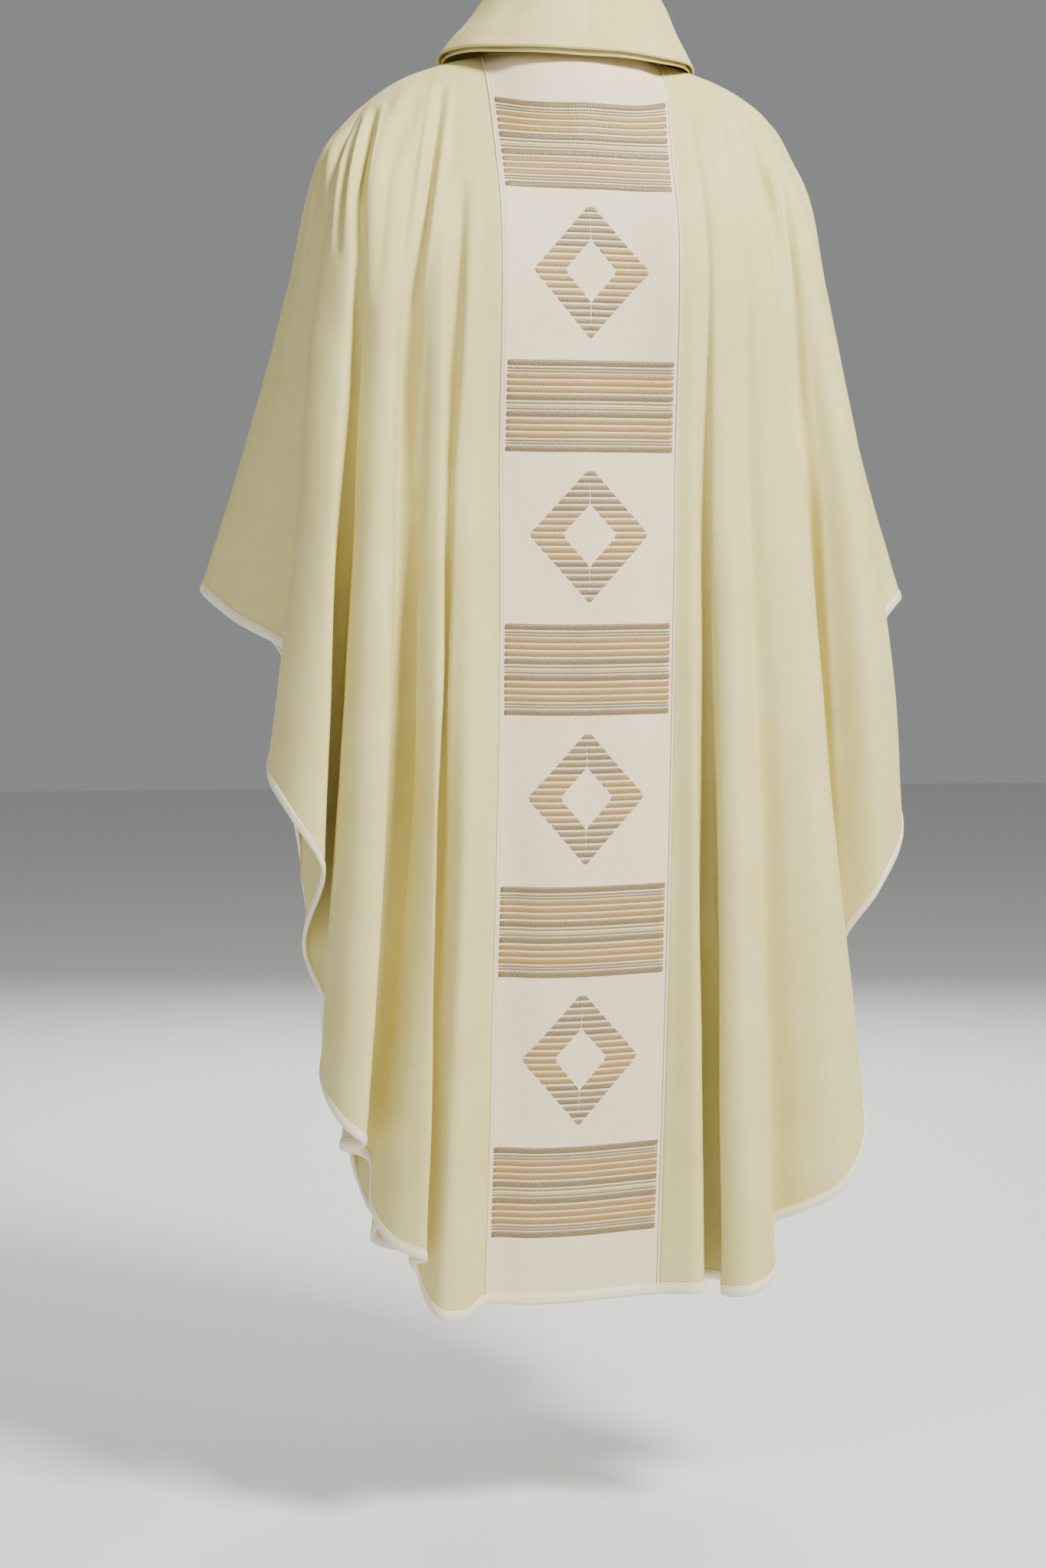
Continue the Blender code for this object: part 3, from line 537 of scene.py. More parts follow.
def place_grid(bm, points, places, uv_layer):
    """Adds a grid of faces with its corners at points, in millimetres, seen with row 0 at the top."""
    rows, columns = points.shape[:2]
    made = bmesh.ops.create_grid(bm, x_segments=columns - 1, y_segments=rows - 1, size=1.0)["verts"]
    where = {}
    for vertex in made:
        column = int(round((vertex.co.x + 1) / 2 * (columns - 1)))
        row = rows - 1 - int(round((vertex.co.y + 1) / 2 * (rows - 1)))
        where[vertex] = (row, column)
        vertex.co = Vector(points[row, column] * MM)
    for face in {face for vertex in made for face in vertex.link_faces}:
        for loop in face.loops:
            row, column = where[loop.vert]
            loop[uv_layer].uv = places[row, column] * MM
    return made


def finish_piece(name, bm, material, replaced=()):
    """Makes the object of a mesh, rides it on the body, gives it its material and hides the solids it replaces.
    """
    mesh = bpy.data.meshes.new(name)
    bm.to_mesh(mesh)
    bm.free()
    mesh.shade_smooth()
    mesh.set_sharp_from_angle(angle=np.radians(SHARP_ANGLE))
    mesh.materials.append(material)
    piece = bpy.data.objects.new(name, mesh)
    bpy.context.scene.collection.objects.link(piece)
    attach(piece, "root")
    if replaced:
        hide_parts(*replaced)
    return piece


def new_bmesh():
    """An empty mesh with a layer for places on the flat cloth."""
    bm = bmesh.new()
    return bm, bm.loops.layers.uv.new("cloth")


def give_thickness(piece, thickness, offset=0.0):
    """Turns a sheet of faces into a wall of cloth."""
    wall = piece.modifiers.new("Thickness", "SOLIDIFY")
    wall.thickness = thickness * MM
    wall.offset = offset
    return wall


def add_node(tree, kind, settings=None, links=None):
    """Adds a node, sets its inputs or properties by name, and links sockets into its inputs."""
    node = tree.nodes.new(kind)
    for name, value in (settings or {}).items():
        if isinstance(name, int) or name in node.inputs:
            node.inputs[name].default_value = value
        else:
            setattr(node, name, value)
    for name, socket in (links or {}).items():
        tree.links.new(socket, node.inputs[name])
    return node


def start_material(name):
    """A node material with nothing set, its tree and its shader."""
    material = bpy.data.materials.new(name)
    material.use_nodes = True
    tree = material.node_tree
    return material, tree, tree.nodes["Principled BSDF"]


def mix_colours(tree, first, second, factor):
    """The socket of a colour between two, by a factor from another socket."""
    mix = add_node(tree, "ShaderNodeMix", {"data_type": "RGBA"})
    tree.links.new(factor, mix.inputs[0])
    mix.inputs[6].default_value = (*first, 1.0)
    mix.inputs[7].default_value = (*second, 1.0)
    return mix.outputs[2]


def wool_material(name, colour, shade_colour, streaks):
    """Woven wool blend, pressed: matt, with a soft nap that lightens at grazing angles.

    The threads are 0.5 mm apart in real cloth, too fine for the picture, so they are drawn at 1.3 mm.
    """
    material, tree, shader = start_material(name)
    shader.inputs["Roughness"].default_value = 0.9
    shader.inputs["Specular IOR Level"].default_value = 0.25
    shader.inputs["Sheen Weight"].default_value = 0.22
    shader.inputs["Sheen Roughness"].default_value = 0.45
    shader.inputs["Sheen Tint"].default_value = (*colour, 1.0)
    place = add_node(tree, "ShaderNodeUVMap", {"uv_map": "cloth"}).outputs["UV"]
    patches = add_node(
        tree, "ShaderNodeTexNoise", {"Scale": 9.0, "Detail": 3.0, "Roughness": 0.6}, {"Vector": place}
    ).outputs["Fac"]
    stretched = add_node(
        tree, "ShaderNodeMapping", {"Scale": (90.0, 640.0, 1.0)}, {"Vector": place}
    ).outputs["Vector"]
    slubs = add_node(
        tree, "ShaderNodeTexNoise", {"Scale": 1.0, "Detail": 2.0, "Roughness": 0.5}, {"Vector": stretched}
    ).outputs["Fac"]
    warp = add_node(
        tree,
        "ShaderNodeTexWave",
        {"bands_direction": "X", "Scale": 122.0, "Distortion": 1.4, "Detail": 1.0, "Detail Scale": 2.0},
        {"Vector": place},
    ).outputs["Fac"]
    weft = add_node(
        tree,
        "ShaderNodeTexWave",
        {"bands_direction": "Y", "Scale": 122.0, "Distortion": 1.4, "Detail": 1.0, "Detail Scale": 2.0},
        {"Vector": place},
    ).outputs["Fac"]
    weave = add_node(tree, "ShaderNodeMath", {"operation": "MULTIPLY"}, {0: warp, 1: weft}).outputs[0]
    mixed = add_node(tree, "ShaderNodeMath", {"operation": "MULTIPLY", 1: streaks}, {0: slubs}).outputs[0]
    height = add_node(tree, "ShaderNodeMath", {"operation": "ADD"}, {0: weave, 1: mixed}).outputs[0]
    tint = add_node(
        tree, "ShaderNodeMapRange", {"From Min": 0.3, "From Max": 0.75}, {"Value": patches}
    ).outputs[0]
    base = mix_colours(tree, colour, shade_colour, tint)
    tree.links.new(base, shader.inputs["Base Color"])
    bump = add_node(tree, "ShaderNodeBump", {"Strength": 0.35, "Distance": 0.0006}, {"Height": height})
    tree.links.new(bump.outputs["Normal"], shader.inputs["Normal"])
    return material


def satin_material(name, colour):
    """Satin weave in polyester: smooth floating threads give a bright, soft streak along the fold."""
    material, tree, shader = start_material(name)
    shader.inputs["Base Color"].default_value = (*colour, 1.0)
    shader.inputs["Roughness"].default_value = 0.32
    shader.inputs["Sheen Weight"].default_value = 0.3
    shader.inputs["Sheen Roughness"].default_value = 0.3
    shader.inputs["Anisotropic"].default_value = 0.4
    place = add_node(tree, "ShaderNodeTexCoord").outputs["Object"]
    ripple = add_node(
        tree, "ShaderNodeTexNoise", {"Scale": 140.0, "Detail": 2.0, "Roughness": 0.5}, {"Vector": place}
    ).outputs["Fac"]
    bump = add_node(tree, "ShaderNodeBump", {"Strength": 0.5, "Distance": 0.0012}, {"Height": ripple})
    tree.links.new(bump.outputs["Normal"], shader.inputs["Normal"])
    return material


def thread_material(name, colour, light, contrast):
    """Rayon embroidery thread laid in satin stitch: close, glossy strands, each painted lighter along its crest
    towards a pale colour, which is painted sheen, so that the gaps between them, in the thread's own colour, read
    darker as painted shade.

    The strands are 0.4 mm apart, drawn at 1.1 mm so that they show.
    """
    material, tree, shader = start_material(name)
    shader.inputs["Roughness"].default_value = 0.42
    shader.inputs["Sheen Weight"].default_value = 0.25
    shader.inputs["Anisotropic"].default_value = 0.5
    place = add_node(tree, "ShaderNodeUVMap", {"uv_map": "cloth"}).outputs["UV"]
    turned = add_node(
        tree, "ShaderNodeMapping", {"Rotation": (0.0, 0.0, 0.6)}, {"Vector": place}
    ).outputs["Vector"]
    strands = add_node(
        tree,
        "ShaderNodeTexWave",
        {"bands_direction": "X", "Scale": 145.0, "Distortion": 2.5, "Detail": 2.0, "Detail Scale": 1.5},
        {"Vector": turned},
    ).outputs["Fac"]
    flecks = add_node(
        tree, "ShaderNodeTexNoise", {"Scale": 520.0, "Detail": 1.0}, {"Vector": place}
    ).outputs["Fac"]
    mixed = add_node(tree, "ShaderNodeMath", {"operation": "MULTIPLY"}, {0: strands, 1: flecks}).outputs[0]
    # Painted sheen: the strands' crests are lightened towards the pale colour, by up to the contrast share, and
    # the gaps between them stay darker as painted shade.
    factor = add_node(
        tree, "ShaderNodeMapRange", {"From Min": 0.1, "From Max": 0.6, "To Max": contrast}, {"Value": mixed}
    ).outputs[0]
    tree.links.new(mix_colours(tree, colour, light, factor), shader.inputs["Base Color"])
    bump = add_node(tree, "ShaderNodeBump", {"Strength": 0.6, "Distance": 0.0008}, {"Height": mixed})
    tree.links.new(bump.outputs["Normal"], shader.inputs["Normal"])
    return material


# The side panels: the lines where each starts and ends, and the side it hangs on.
Panel = namedtuple("Panel", "name node first last side width length area")
PANELS = (
    Panel("back_cloth_left", "back_left", "left seam", "orphrey left seam", -1, 0.58, 1.28, 0.541),
    Panel("back_cloth_right", "back_right", "orphrey right seam", "right seam", -1, 0.58, 1.27, 0.493),
    Panel("front_cloth_right", "front_right", "right seam", "front orphrey right seam", 1, 0.52, 1.28, 0.413),
    Panel("front_cloth_left", "front_left", "front orphrey left seam", None, 1, 0.5, 1.28, 0.393),
)
BANDS = (
    Panel("back_band", "back_orphrey", "orphrey left seam", "orphrey right seam", -1, 0.183, 1.27, None),
    Panel(
        "front_band", "front_orphrey", "front orphrey right seam", "front orphrey left seam",
        1, 0.183, 1.25, None,
    ),
)
BINDINGS = (
    Panel("back_hem_edge", "back_hem_binding", "left seam", "right seam", -1, 0, 0, None),
    Panel("front_hem_edge", "front_hem_binding", "right seam", None, 1, 0, 0, None),
)
CORDS = (
    ("back_left_piping", "back_left_cord", "orphrey left seam"),
    ("back_right_piping", "back_right_cord", "orphrey right seam"),
    ("front_left_piping", "front_left_cord", "front orphrey left seam"),
    ("front_right_piping", "front_right_cord", "front orphrey right seam"),
)

# The binding's section: height above the hem and distance from the cloth's middle, down and round,
# with the dip that the machine stitches draw in near its upper edge.
BINDING_SECTION = (
    (11.0, 1.2), (10.7, 1.9), (10.1, 2.1), (9.5, 1.5), (8.9, 2.1), (5.5, 2.3), (2.5, 2.1), (0.4, 1.5),
    (-0.5, 0.0), (0.4, -1.5), (2.5, -2.1), (5.5, -2.3), (8.9, -2.1), (9.5, -1.5), (10.1, -2.1),
    (10.7, -1.9), (11.0, -1.2), (11.0, 0.0),
)
PIPING_SIDES = 8
PIPING_RADIUS = 1.1
PIPING_HEIGHT = 1.5
PIPING_FIRST_ROW = 3

# Half of the stretch, in lines, that gives a cord its direction across.
PIPING_STEP = 0.02


def panel_columns(panel, pitch):
    """The fine columns of a panel, band or edge."""
    last = len(FOLDS) if panel.last is None else LINE_OF[panel.last]
    return fine_columns(LINE_OF[panel.first], last, pitch)


def panel_points(columns, side):
    """A panel's fine rows, from the shoulder or neck down into the binding, with outward directions."""
    rows = fine_rows()
    points, outward = cloth_surface(rows, columns)
    on_band = np.abs(points[0, :, 0]) < NECK_HALF_WIDTH - 1e-6
    x = points[0, :, 0]
    if on_band.any():
        angles = np.arctan2(x / NECK_HALF_WIDTH, side * points[0, :, 1] / NECK_HALF_DEPTH)
        points[0, 1:-1] = neck_point(angles[1:-1], side)
        outward[0, [0, -1]] = shoulder_outward(x[[0, -1]])
    else:
        points[0, :, 2] = shoulder_z(x)
        outward[0] = shoulder_outward(x)
        points[0, :, 1] = side * SEAM_GAP / 2
    low_points, low_outward = hem_rows(columns, ROWS_IN_BINDING)
    return np.concatenate([points, low_points]), np.concatenate([outward, low_outward])


def add_cloth(panel, material, pitch, thickness):
    """A panel of fine cloth in place of its solid."""
    points, _ = panel_points(panel_columns(panel, pitch), panel.side)
    bm, uv_layer = new_bmesh()
    place_grid(bm, points, flat_places(points), uv_layer)
    piece = finish_piece(panel.name, bm, material, (panel.node,))
    give_thickness(piece, thickness)
    return piece


def add_tube(name, rings, material, replaced=()):
    """A closed tube through rings of points, with ends."""
    rings = np.concatenate([rings, rings[:, :1]], axis=1)
    bm, uv_layer = new_bmesh()
    along = np.cumsum(np.linalg.norm(np.diff(rings[:, 0], axis=0, prepend=rings[:1, 0]), axis=1))
    round_it = np.arange(rings.shape[1]) * PIPING_RADIUS
    places = np.stack(np.broadcast_arrays(along[:, None], round_it[None]), axis=2)
    place_grid(bm, rings, places, uv_layer)
    bmesh.ops.remove_doubles(bm, verts=bm.verts, dist=1e-6)
    bmesh.ops.holes_fill(bm, edges=bm.edges, sides=0)
    bmesh.ops.recalc_face_normals(bm, faces=bm.faces)
    return finish_piece(name, bm, material, replaced)


def add_binding(panel, material, pitch):
    """The satin strip folded over the hem."""
    columns = panel_columns(panel, pitch)
    heights = [height for height, _ in BINDING_SECTION]
    points, outward = hem_rows(columns, heights)
    offsets = np.array([offset for _, offset in BINDING_SECTION])
    rings = points + outward * offsets[:, None, None]
    return add_tube(panel.name, rings.transpose(1, 0, 2), material, (panel.node,))


def add_piping(name, node, line, material):
    """The round piping sewn into a band's seam."""
    rows = fine_rows()[PIPING_FIRST_ROW:]
    columns = LINE_OF[line] + np.array([-PIPING_STEP, 0.0, PIPING_STEP])
    points, outward = cloth_surface(rows, columns)
    low_points, low_outward = hem_rows(columns, ROWS_IN_BINDING[:1])
    points, outward = np.concatenate([points, low_points]), np.concatenate([outward, low_outward])
    across = points[:, 2] - points[:, 0]
    across /= np.linalg.norm(across, axis=1, keepdims=True)
    middle = points[:, 1] + outward[:, 1] * PIPING_HEIGHT
    turns = np.arange(PIPING_SIDES) * 2 * np.pi / PIPING_SIDES
    rings = (
        middle[:, None]
        + across[:, None] * (np.cos(turns) * PIPING_RADIUS)[None, :, None]
        + outward[:, 1][:, None] * (np.sin(turns) * PIPING_RADIUS)[None, :, None]
    )
    return add_tube(name, rings, material, (node,))


COLLAR_ROWS_A_RING = 7
COLLAR_COLUMNS = 180

# The collar's soft dents: how long they are across and down, how deep, their seed, and the share of
# the collar above its foot over which they fade.
DENT_ACROSS = 60
DENT_DOWN = 45
DENT_DEPTH = 2.4
DENT_SEED = 7.3
DENT_FADE = 0.3

# The shares of the collar over which a crease comes in and fades out.
CREASE_COMES_IN = 0.06
CREASE_FADES = 0.12

# Creases down the collar's leaf: the angle round the neck and the width, in radians, the depth in
# millimetres, and the shares of the strip, from the leaf's edge, where each starts and ends.
CollarCrease = namedtuple("CollarCrease", "angle width depth start end")
COLLAR_CREASES = (
    CollarCrease(0.19, 0.035, -1.3, 0.10, 0.60),
    CollarCrease(0.27, 0.06, 0.8, 0.05, 0.55),
    CollarCrease(-0.72, 0.14, -2.0, 0.0, 0.45),
    CollarCrease(0.95, 0.10, -1.6, 0.0, 0.40),
    CollarCrease(2.3, 0.09, -1.8, 0.0, 0.45),
    CollarCrease(-2.1, 0.12, -1.6, 0.05, 0.5),
    CollarCrease(3.3, 0.05, -1.2, 0.1, 0.55),
)

# The collar's inner layer under the leaf, from its lower edge up.
FACING_RINGS = (
    CollarRing(3, 131.5, -110.5, 116.0, -8, 0.5, -68),
    CollarRing(3, 129.5, -109.0, 114.5, -4, 3, -64),
    CollarRing(3, 126.0, -106.0, 111.5, 3, 9, -56),
    CollarRing(4, 121.0, -102.5, 108.0, 13, 17, -45),
)

# The share of the whole collar's height that the inner layer covers.
FACING_SHARE = 0.12


def collar_rings(table, angles):
    """Rings of points at the given angles, 0 at the back and a quarter turn at the wearer's right."""
    back, front = np.maximum(np.cos(angles), 0.0) ** 2, np.maximum(-np.cos(angles), 0.0) ** 2
    rings = []
    for ring in table:
        depth = np.where(np.cos(angles) > 0, -ring.back_y, ring.front_y)
        reach = (ring.half_width - COLLAR_RINGS[-1].half_width) / COLLAR_TILT_REACH
        height = ring.side_z + (ring.back_z - ring.side_z) * back + (ring.front_z - ring.side_z) * front
        rings.append(
            np.stack(
                [
                    ring.middle_x + ring.half_width * np.sin(angles),
                    -depth * np.cos(angles),
                    height - COLLAR_TILT * reach * np.sin(angles),
                ],
                axis=1,
            )
        )
    return np.array(rings)


def add_collar_strip(name, table, material, thickness, share_end=1.0, replaced=()):
    """A strip of cloth round the neck through a table of rings, with its soft dents and creases.

    It covers this share of the whole collar, from the leaf's free edge on.
    """
    angles = np.linspace(0.0, 2 * np.pi, COLLAR_COLUMNS + 1)
    rings = collar_rings(table, angles)
    lengths = np.linalg.norm(np.diff(rings, axis=0), axis=2).mean(axis=1)
    knots = np.concatenate([[0.0], np.cumsum(lengths)])
    slopes = tangents(rings, knots[:, None], closed=False)
    rows = []
    for span in range(len(rings) - 1):
        step = knots[span + 1] - knots[span]
        for piece in range(COLLAR_ROWS_A_RING):
            along = piece / COLLAR_ROWS_A_RING
            rows.append(hermite(rings[span], rings[span + 1], slopes[span], slopes[span + 1], step, along))
    rows.append(rings[-1])
    points = np.array(rows)
    around = np.gradient(points, axis=1)
    around[:, 0] = around[:, -1] = points[:, 1] - points[:, -2]
    outward = np.cross(around, np.gradient(points, axis=0))
    outward /= np.linalg.norm(outward, axis=2, keepdims=True)
    flat = points.reshape(-1, 3) * (1 / DENT_ACROSS, 1 / DENT_ACROSS, 1 / DENT_DOWN) + DENT_SEED
    dents = np.array([noise.noise(Vector(place)) for place in flat]).reshape(points.shape[:2])
    share = np.linspace(0.0, share_end, len(points))
    dents *= (smooth_step((1 - share) / DENT_FADE) * DENT_DEPTH)[:, None]
    for crease in COLLAR_CREASES:
        distance = (angles - crease.angle + np.pi) % (2 * np.pi) - np.pi
        run = smooth_step((share - crease.start) / CREASE_COMES_IN)
        run = run * smooth_step((crease.end - share) / CREASE_FADES)
        dents += crease.depth * np.exp(-((distance / crease.width) ** 2)) * run[:, None]
    points = points + outward * dents[..., None]
    points[:, -1] = points[:, 0]
    bm, uv_layer = new_bmesh()
    places = flat_places(points)
    places[..., 1] *= -1
    place_grid(bm, points[::-1], places[::-1], uv_layer)
    bmesh.ops.remove_doubles(bm, verts=bm.verts, dist=1e-6)
    piece = finish_piece(name, bm, material, replaced)
    give_thickness(piece, thickness)
    return piece


class BandMap:
    """Finds places on a band's outer face by their share across and distance down, in millimetres."""

    def __init__(self, panel):
        self.columns = panel_columns(panel, BAND_GRID_PITCH)
        points, outward = panel_points(self.columns, panel.side)
        self.points, self.outward = points, outward
        middle = points.shape[1] // 2
        steps = np.linalg.norm(np.diff(points[:, middle], axis=0), axis=1)
        self.down = np.concatenate([[0.0], np.cumsum(steps)])
        row = len(points) // 2
        widths = np.linalg.norm(np.diff(points[row], axis=0), axis=1)
        across = np.concatenate([[0.0], np.cumsum(widths)])
        self.half_width = across[-1] / 2
        self.share = across / across[-1] * 2 - 1

    def at(self, share, down, height):
        """Points at shares across (-1 to 1), distances down, and heights above the cloth's middle."""
        row = np.interp(down, self.down, np.arange(len(self.down)))
        column = np.interp(share, self.share, np.arange(len(self.share)))
        row_0 = np.clip(np.floor(row).astype(int), 0, len(self.down) - 2)
        column_0 = np.clip(np.floor(column).astype(int), 0, len(self.share) - 2)
        r, c = (row - row_0)[..., None], (column - column_0)[..., None]
        result = []
        for grid in (self.points, self.outward):
            upper = grid[row_0, column_0] * (1 - c) + grid[row_0, column_0 + 1] * c
            lower = grid[row_0 + 1, column_0] * (1 - c) + grid[row_0 + 1, column_0 + 1] * c
            result.append(upper * (1 - r) + lower * r)
        return result[0] + result[1] * np.asarray(height)[..., None]


STITCH_PROFILE = ((0.0, 0.7), (0.12, 1.45), (0.35, 1.85), (0.65, 1.85), (0.88, 1.45), (1.0, 0.7))
BAR_STEPS = 30

# The pitch of the grid on which places on a band are found.
BAND_GRID_PITCH = 6.0


def add_bar(bm, uv_layer, band, top_edge, low_edge):
    """One raised bar of satin stitch between two edges, each from (share, down) to (share, down)."""
    along = np.linspace(0.0, 1.0, BAR_STEPS)[None]
    through = np.array([place for place, _ in STITCH_PROFILE])[:, None]
    heights = np.array([height for _, height in STITCH_PROFILE])[:, None] * np.ones_like(along)
    ends = np.minimum(along, 1 - along) * (BAR_STEPS - 1)
    heights = np.where(ends < 0.5, STITCH_PROFILE[0][1], heights)
    (top_0, top_1), (low_0, low_1) = top_edge, low_edge
    share_top = top_0[0] + (top_1[0] - top_0[0]) * along
    share_low = low_0[0] + (low_1[0] - low_0[0]) * along
    down_top = top_0[1] + (top_1[1] - top_0[1]) * along
    down_low = low_0[1] + (low_1[1] - low_0[1]) * along
    share = share_top * (1 - through) + share_low * through
    down = down_top * (1 - through) + down_low * through
    places = np.stack([share * band.half_width, down], axis=2)
    place_grid(bm, band.at(share, down, heights), places, uv_layer)


def lozenge_bars():
    """The bars of one lozenge: its top and low edges and thread, about its centre."""
    bars = []
    count = int(2 * LOZENGE_HALF_HEIGHT / LOZENGE_PITCH)
    for number in range(count):
        top = -LOZENGE_HALF_HEIGHT + (number + 0.5) * LOZENGE_PITCH
        low = top + LOZENGE_BAR
        reach = 1 - abs(top + LOZENGE_BAR / 2) / LOZENGE_HALF_HEIGHT
        thread = "gold" if reach > LOZENGE_GOLD else "taupe" if number % 2 else "grey"
        bars.append((top, low, thread))
    return bars


def lozenge_half_width(down):
    """Half of the lozenge's width at a distance from its centre."""
    return LOZENGE_HALF_WIDTH * (1 - abs(down) / LOZENGE_HALF_HEIGHT)


def add_stitching(panel, materials):
    """All the stitched bars of one band, a piece for each thread."""
    band = BandMap(panel)
    meshes = {thread: new_bmesh() for thread in THREADS}
    for start in BAR_GROUPS:
        down = start
        for bar in BAR_GROUP:
            top, low = down, down + bar.height
            add_bar(
                *meshes[bar.thread],
                band,
                ((-BAR_HALF_WIDTH, top), (BAR_HALF_WIDTH, top)),
                ((-BAR_HALF_WIDTH, low), (BAR_HALF_WIDTH, low)),
            )
            down = low + bar.gap
    for centre in LOZENGE_CENTRES:
        for top, low, thread in lozenge_bars():
            outer_top, outer_low = lozenge_half_width(top), lozenge_half_width(low)
            inner_top = max(0.0, outer_top - LOZENGE_HALF_WIDTH * (1 - LOZENGE_OPENING))
            inner_low = max(0.0, outer_low - LOZENGE_HALF_WIDTH * (1 - LOZENGE_OPENING))
            for side in (-1, 1):
                shares = [
                    side * width / band.half_width for width in (inner_top, outer_top, inner_low, outer_low)
                ]
                if side < 0:
                    shares = [shares[1], shares[0], shares[3], shares[2]]
                add_bar(
                    *meshes[thread],
                    band,
                    ((shares[0], centre + top), (shares[1], centre + top)),
                    ((shares[2], centre + low), (shares[3], centre + low)),
                )
    made = []
    for thread, (bm, _) in meshes.items():
        piece = finish_piece(f"{panel.name}_{thread}_stitching", bm, materials[thread])
        give_thickness(piece, 0.5, offset=-1.0)
        made.append(piece)
    return made


def colour_property(name, description, colour):
    """A colour setting whose default is an sRGB hex value."""
    return FloatVectorProperty(
        name=name, description=description,
        subtype="COLOR", size=3, min=0.0, max=1.0, default=linear(colour),
    )


class ClothSettings(bpy.types.PropertyGroup):
    """Sizes and colours of the wool panels and the collar."""

    wool: colour_property("Wool", "Colour of the side panels and the collar", "dfd494")
    wool_patches: colour_property("Wool patches", "Colour that the wool drifts towards in soft patches", "d5c982")
    band: colour_property("Band", "Colour of the centre bands' ground", "f1e1be")
    band_patches: colour_property("Band patches", "Colour that the band's ground drifts towards", "e9d6b0")
    pitch: FloatProperty(
        name="Pitch", description="Width of cloth between two columns of the mesh",
        unit="LENGTH", subtype="DISTANCE", min=0.002, max=0.03, default=0.0055,
    )
    thickness: FloatProperty(
        name="Thickness", description="Thickness of the cloth",
        unit="LENGTH", subtype="DISTANCE", min=0.001, max=0.003, default=0.002,
    )


class EdgeSettings(bpy.types.PropertyGroup):
    """Colour of the satin edges and the piping."""

    satin: colour_property("Satin", "Colour of the hem's binding and of the piping", "efe6c6")


class StageSettings(bpy.types.PropertyGroup):
    """The floor, the lights and the camera."""

    floor_drop: FloatProperty(
        name="Floor drop", description="How far the floor lies below the foot of the neck",
        unit="LENGTH", subtype="DISTANCE", min=1.3, max=1.8, default=1.51,
    )
    key_power: FloatProperty(
        name="Key light", description="Power of the soft light high on the right",
        subtype="POWER", unit="POWER", min=0.0, max=1000.0, default=335.0,
    )
    fill_power: FloatProperty(
        name="Fill light", description="Power of the weak light on the left",
        subtype="POWER", unit="POWER", min=0.0, max=1000.0, default=38.0,
    )
    front_power: FloatProperty(
        name="Front light", description="Power of the soft light on the side away from the camera",
        subtype="POWER", unit="POWER", min=0.0, max=1000.0, default=150.0,
    )


class CHASUBLE_OT_cloth(bpy.types.Operator):
    """Makes the four side panels and the collar of fine wool cloth"""

    bl_idname = "chasuble.cloth"
    bl_label = "Cloth panels and collar"

    def execute(self, context):
        settings = context.scene.chasuble_cloth
        wool = wool_material("wool blend, pressed", tuple(settings.wool), tuple(settings.wool_patches), 0.9)
        pitch, thickness = settings.pitch / MM, settings.thickness / MM
        for panel in PANELS:
            piece = add_cloth(panel, wool, pitch, thickness)
        collar = add_collar_strip("collar_cloth", COLLAR_RINGS, wool, thickness, replaced=("collar",))
        facing = add_collar_strip("collar_facing", FACING_RINGS, wool, thickness, FACING_SHARE)
        return {"FINISHED"}


class CHASUBLE_OT_bands(bpy.types.Operator):
    """Makes the two centre bands with their stitched bars and lozenges"""

    bl_idname = "chasuble.bands"
    bl_label = "Stitched centre bands"

    def execute(self, context):
        settings = context.scene.chasuble_cloth
        ground = wool_material("band wool, smooth", tuple(settings.band), tuple(settings.band_patches), 0.5)
        # The pale colour of the painted sheen along the threads' strands, mixed in by up to half.
        light = linear("cbb27c")
        threads = {
            name: thread_material(f"rayon thread, {name}", linear(colour), light, 0.5)
            for name, colour in THREADS.items()
        }
        pitch, thickness = settings.pitch / MM, settings.thickness / MM
        for panel in BANDS:
            piece = add_cloth(panel, ground, pitch, thickness)
            stitching = add_stitching(panel, threads)
        return {"FINISHED"}


class CHASUBLE_OT_edges(bpy.types.Operator):
    """Makes the satin binding round the hem and the piping in the bands' seams"""

    bl_idname = "chasuble.edges"
    bl_label = "Hem binding and piping"

    def execute(self, context):
        satin = satin_material("polyester satin", tuple(context.scene.chasuble_edge.satin))
        pitch = context.scene.chasuble_cloth.pitch / MM
        for panel in BINDINGS:
            add_binding(panel, satin, pitch)
        for name, node, line in CORDS:
            add_piping(name, node, line, satin)
        return {"FINISHED"}


# The photograph's camera: where it stands, and how far it is turned and tipped down, in degrees.
CAMERA_PLACE = (-0.5487, -2.8683, -0.61)
CAMERA_TURN = -10.0
CAMERA_TIP = 2.775
CAMERA_LENS = 63.1
SENSOR_HEIGHT = 36.0

FLOOR_SIZE = 30.0


def add_light(name, place, size, power, colour, target=(0.0, 0.0, -0.55)):
    """A square soft light that points at the garment."""
    lamp = bpy.data.lights.new(name, "AREA")
    lamp.energy = power
    lamp.size = size
    lamp.color = colour
    holder = bpy.data.objects.new(name, lamp)
    holder.location = place
    holder.rotation_euler = (Vector(target) - Vector(place)).to_track_quat("-Z", "Y").to_euler()
    bpy.context.scene.collection.objects.link(holder)


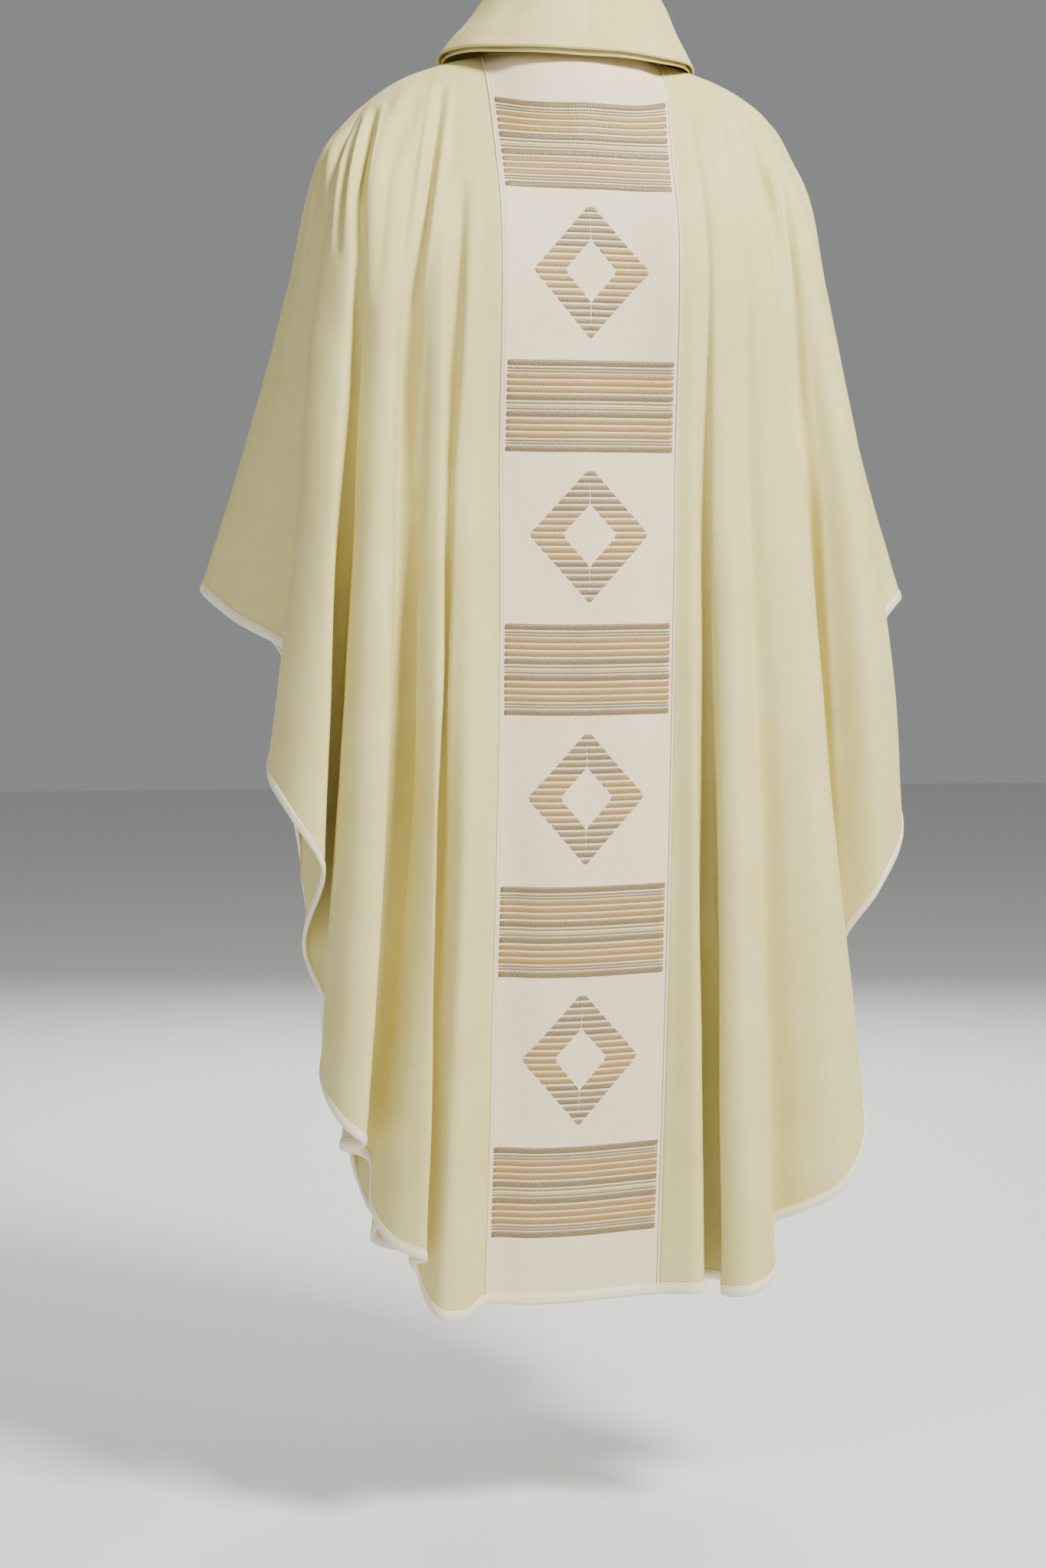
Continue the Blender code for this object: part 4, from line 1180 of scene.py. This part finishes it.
class CHASUBLE_OT_stage(bpy.types.Operator):
    """Sets the pale floor, the soft lights, the surroundings and the camera"""

    bl_idname = "chasuble.stage"
    bl_label = "Stage, lights and camera"

    def execute(self, context):
        settings = context.scene.chasuble_stage
        bm = bmesh.new()
        bmesh.ops.create_grid(bm, x_segments=1, y_segments=1, size=FLOOR_SIZE / 2)
        bmesh.ops.translate(bm, verts=bm.verts, vec=(0.0, 0.0, -settings.floor_drop))
        mesh = bpy.data.meshes.new("floor")
        bm.to_mesh(mesh)
        bm.free()
        floor = bpy.data.objects.new("floor", mesh)
        material, _, shader = start_material("painted studio floor")
        shader.inputs["Base Color"].default_value = (*linear("e6e6e4"), 1.0)
        shader.inputs["Roughness"].default_value = 0.9
        mesh.materials.append(material)
        context.scene.collection.objects.link(floor)
        add_light("key", (1.5, -2.4, 2.2), 0.9, settings.key_power, (1.0, 0.985, 0.96))
        add_light("fill", (-2.4, -2.8, 1.0), 2.2, settings.fill_power, (0.97, 0.98, 1.0))
        add_light("front", (0.6, 3.2, 1.2), 2.4, settings.front_power, (1.0, 1.0, 1.0))
        world = bpy.data.worlds.new("studio air")
        world.use_nodes = True
        background = world.node_tree.nodes["Background"]
        background.inputs["Color"].default_value = (*linear("e8e9ea"), 1.0)
        background.inputs["Strength"].default_value = 0.32
        context.scene.world = world
        lens = bpy.data.cameras.new("camera")
        lens.sensor_fit = "VERTICAL"
        lens.sensor_height = SENSOR_HEIGHT
        lens.lens = CAMERA_LENS
        camera = bpy.data.objects.new("camera", lens)
        camera.location = CAMERA_PLACE
        camera.rotation_euler = (np.radians(90.0 - CAMERA_TIP), 0.0, np.radians(CAMERA_TURN))
        context.scene.collection.objects.link(camera)
        context.scene.camera = camera
        return {"FINISHED"}


OPERATORS = (CHASUBLE_OT_cloth, CHASUBLE_OT_bands, CHASUBLE_OT_edges, CHASUBLE_OT_stage)
GROUPS = (
    ("chasuble_cloth", ClothSettings),
    ("chasuble_edge", EdgeSettings),
    ("chasuble_stage", StageSettings),
)


class CHASUBLE_PT_panel(bpy.types.Panel):
    """Lists the pieces of the chasuble and their settings"""

    bl_idname = "CHASUBLE_PT_panel"
    bl_label = "Chasuble"
    bl_space_type = "VIEW_3D"
    bl_region_type = "UI"
    bl_category = "Chasuble"

    def draw(self, context):
        for attribute, group in GROUPS:
            column = self.layout.column()
            for name in group.__annotations__:
                column.prop(getattr(context.scene, attribute), name)
        for operator in OPERATORS:
            self.layout.operator(operator.bl_idname)


def register():
    """Registers the settings, the operators and the panel."""
    for attribute, group in GROUPS:
        bpy.utils.register_class(group)
        setattr(bpy.types.Scene, attribute, PointerProperty(type=group))
    for operator in OPERATORS:
        bpy.utils.register_class(operator)
    bpy.utils.register_class(CHASUBLE_PT_panel)


def unregister():
    """Takes away what register added."""
    bpy.utils.unregister_class(CHASUBLE_PT_panel)
    for operator in reversed(OPERATORS):
        bpy.utils.unregister_class(operator)
    for attribute, group in reversed(GROUPS):
        delattr(bpy.types.Scene, attribute)
        bpy.utils.unregister_class(group)


def main():
    """Makes every piece in order."""
    register()
    bpy.ops.chasuble.cloth()
    bpy.ops.chasuble.bands()
    bpy.ops.chasuble.edges()
    bpy.ops.chasuble.stage()


if __name__ == "__main__":
    main()
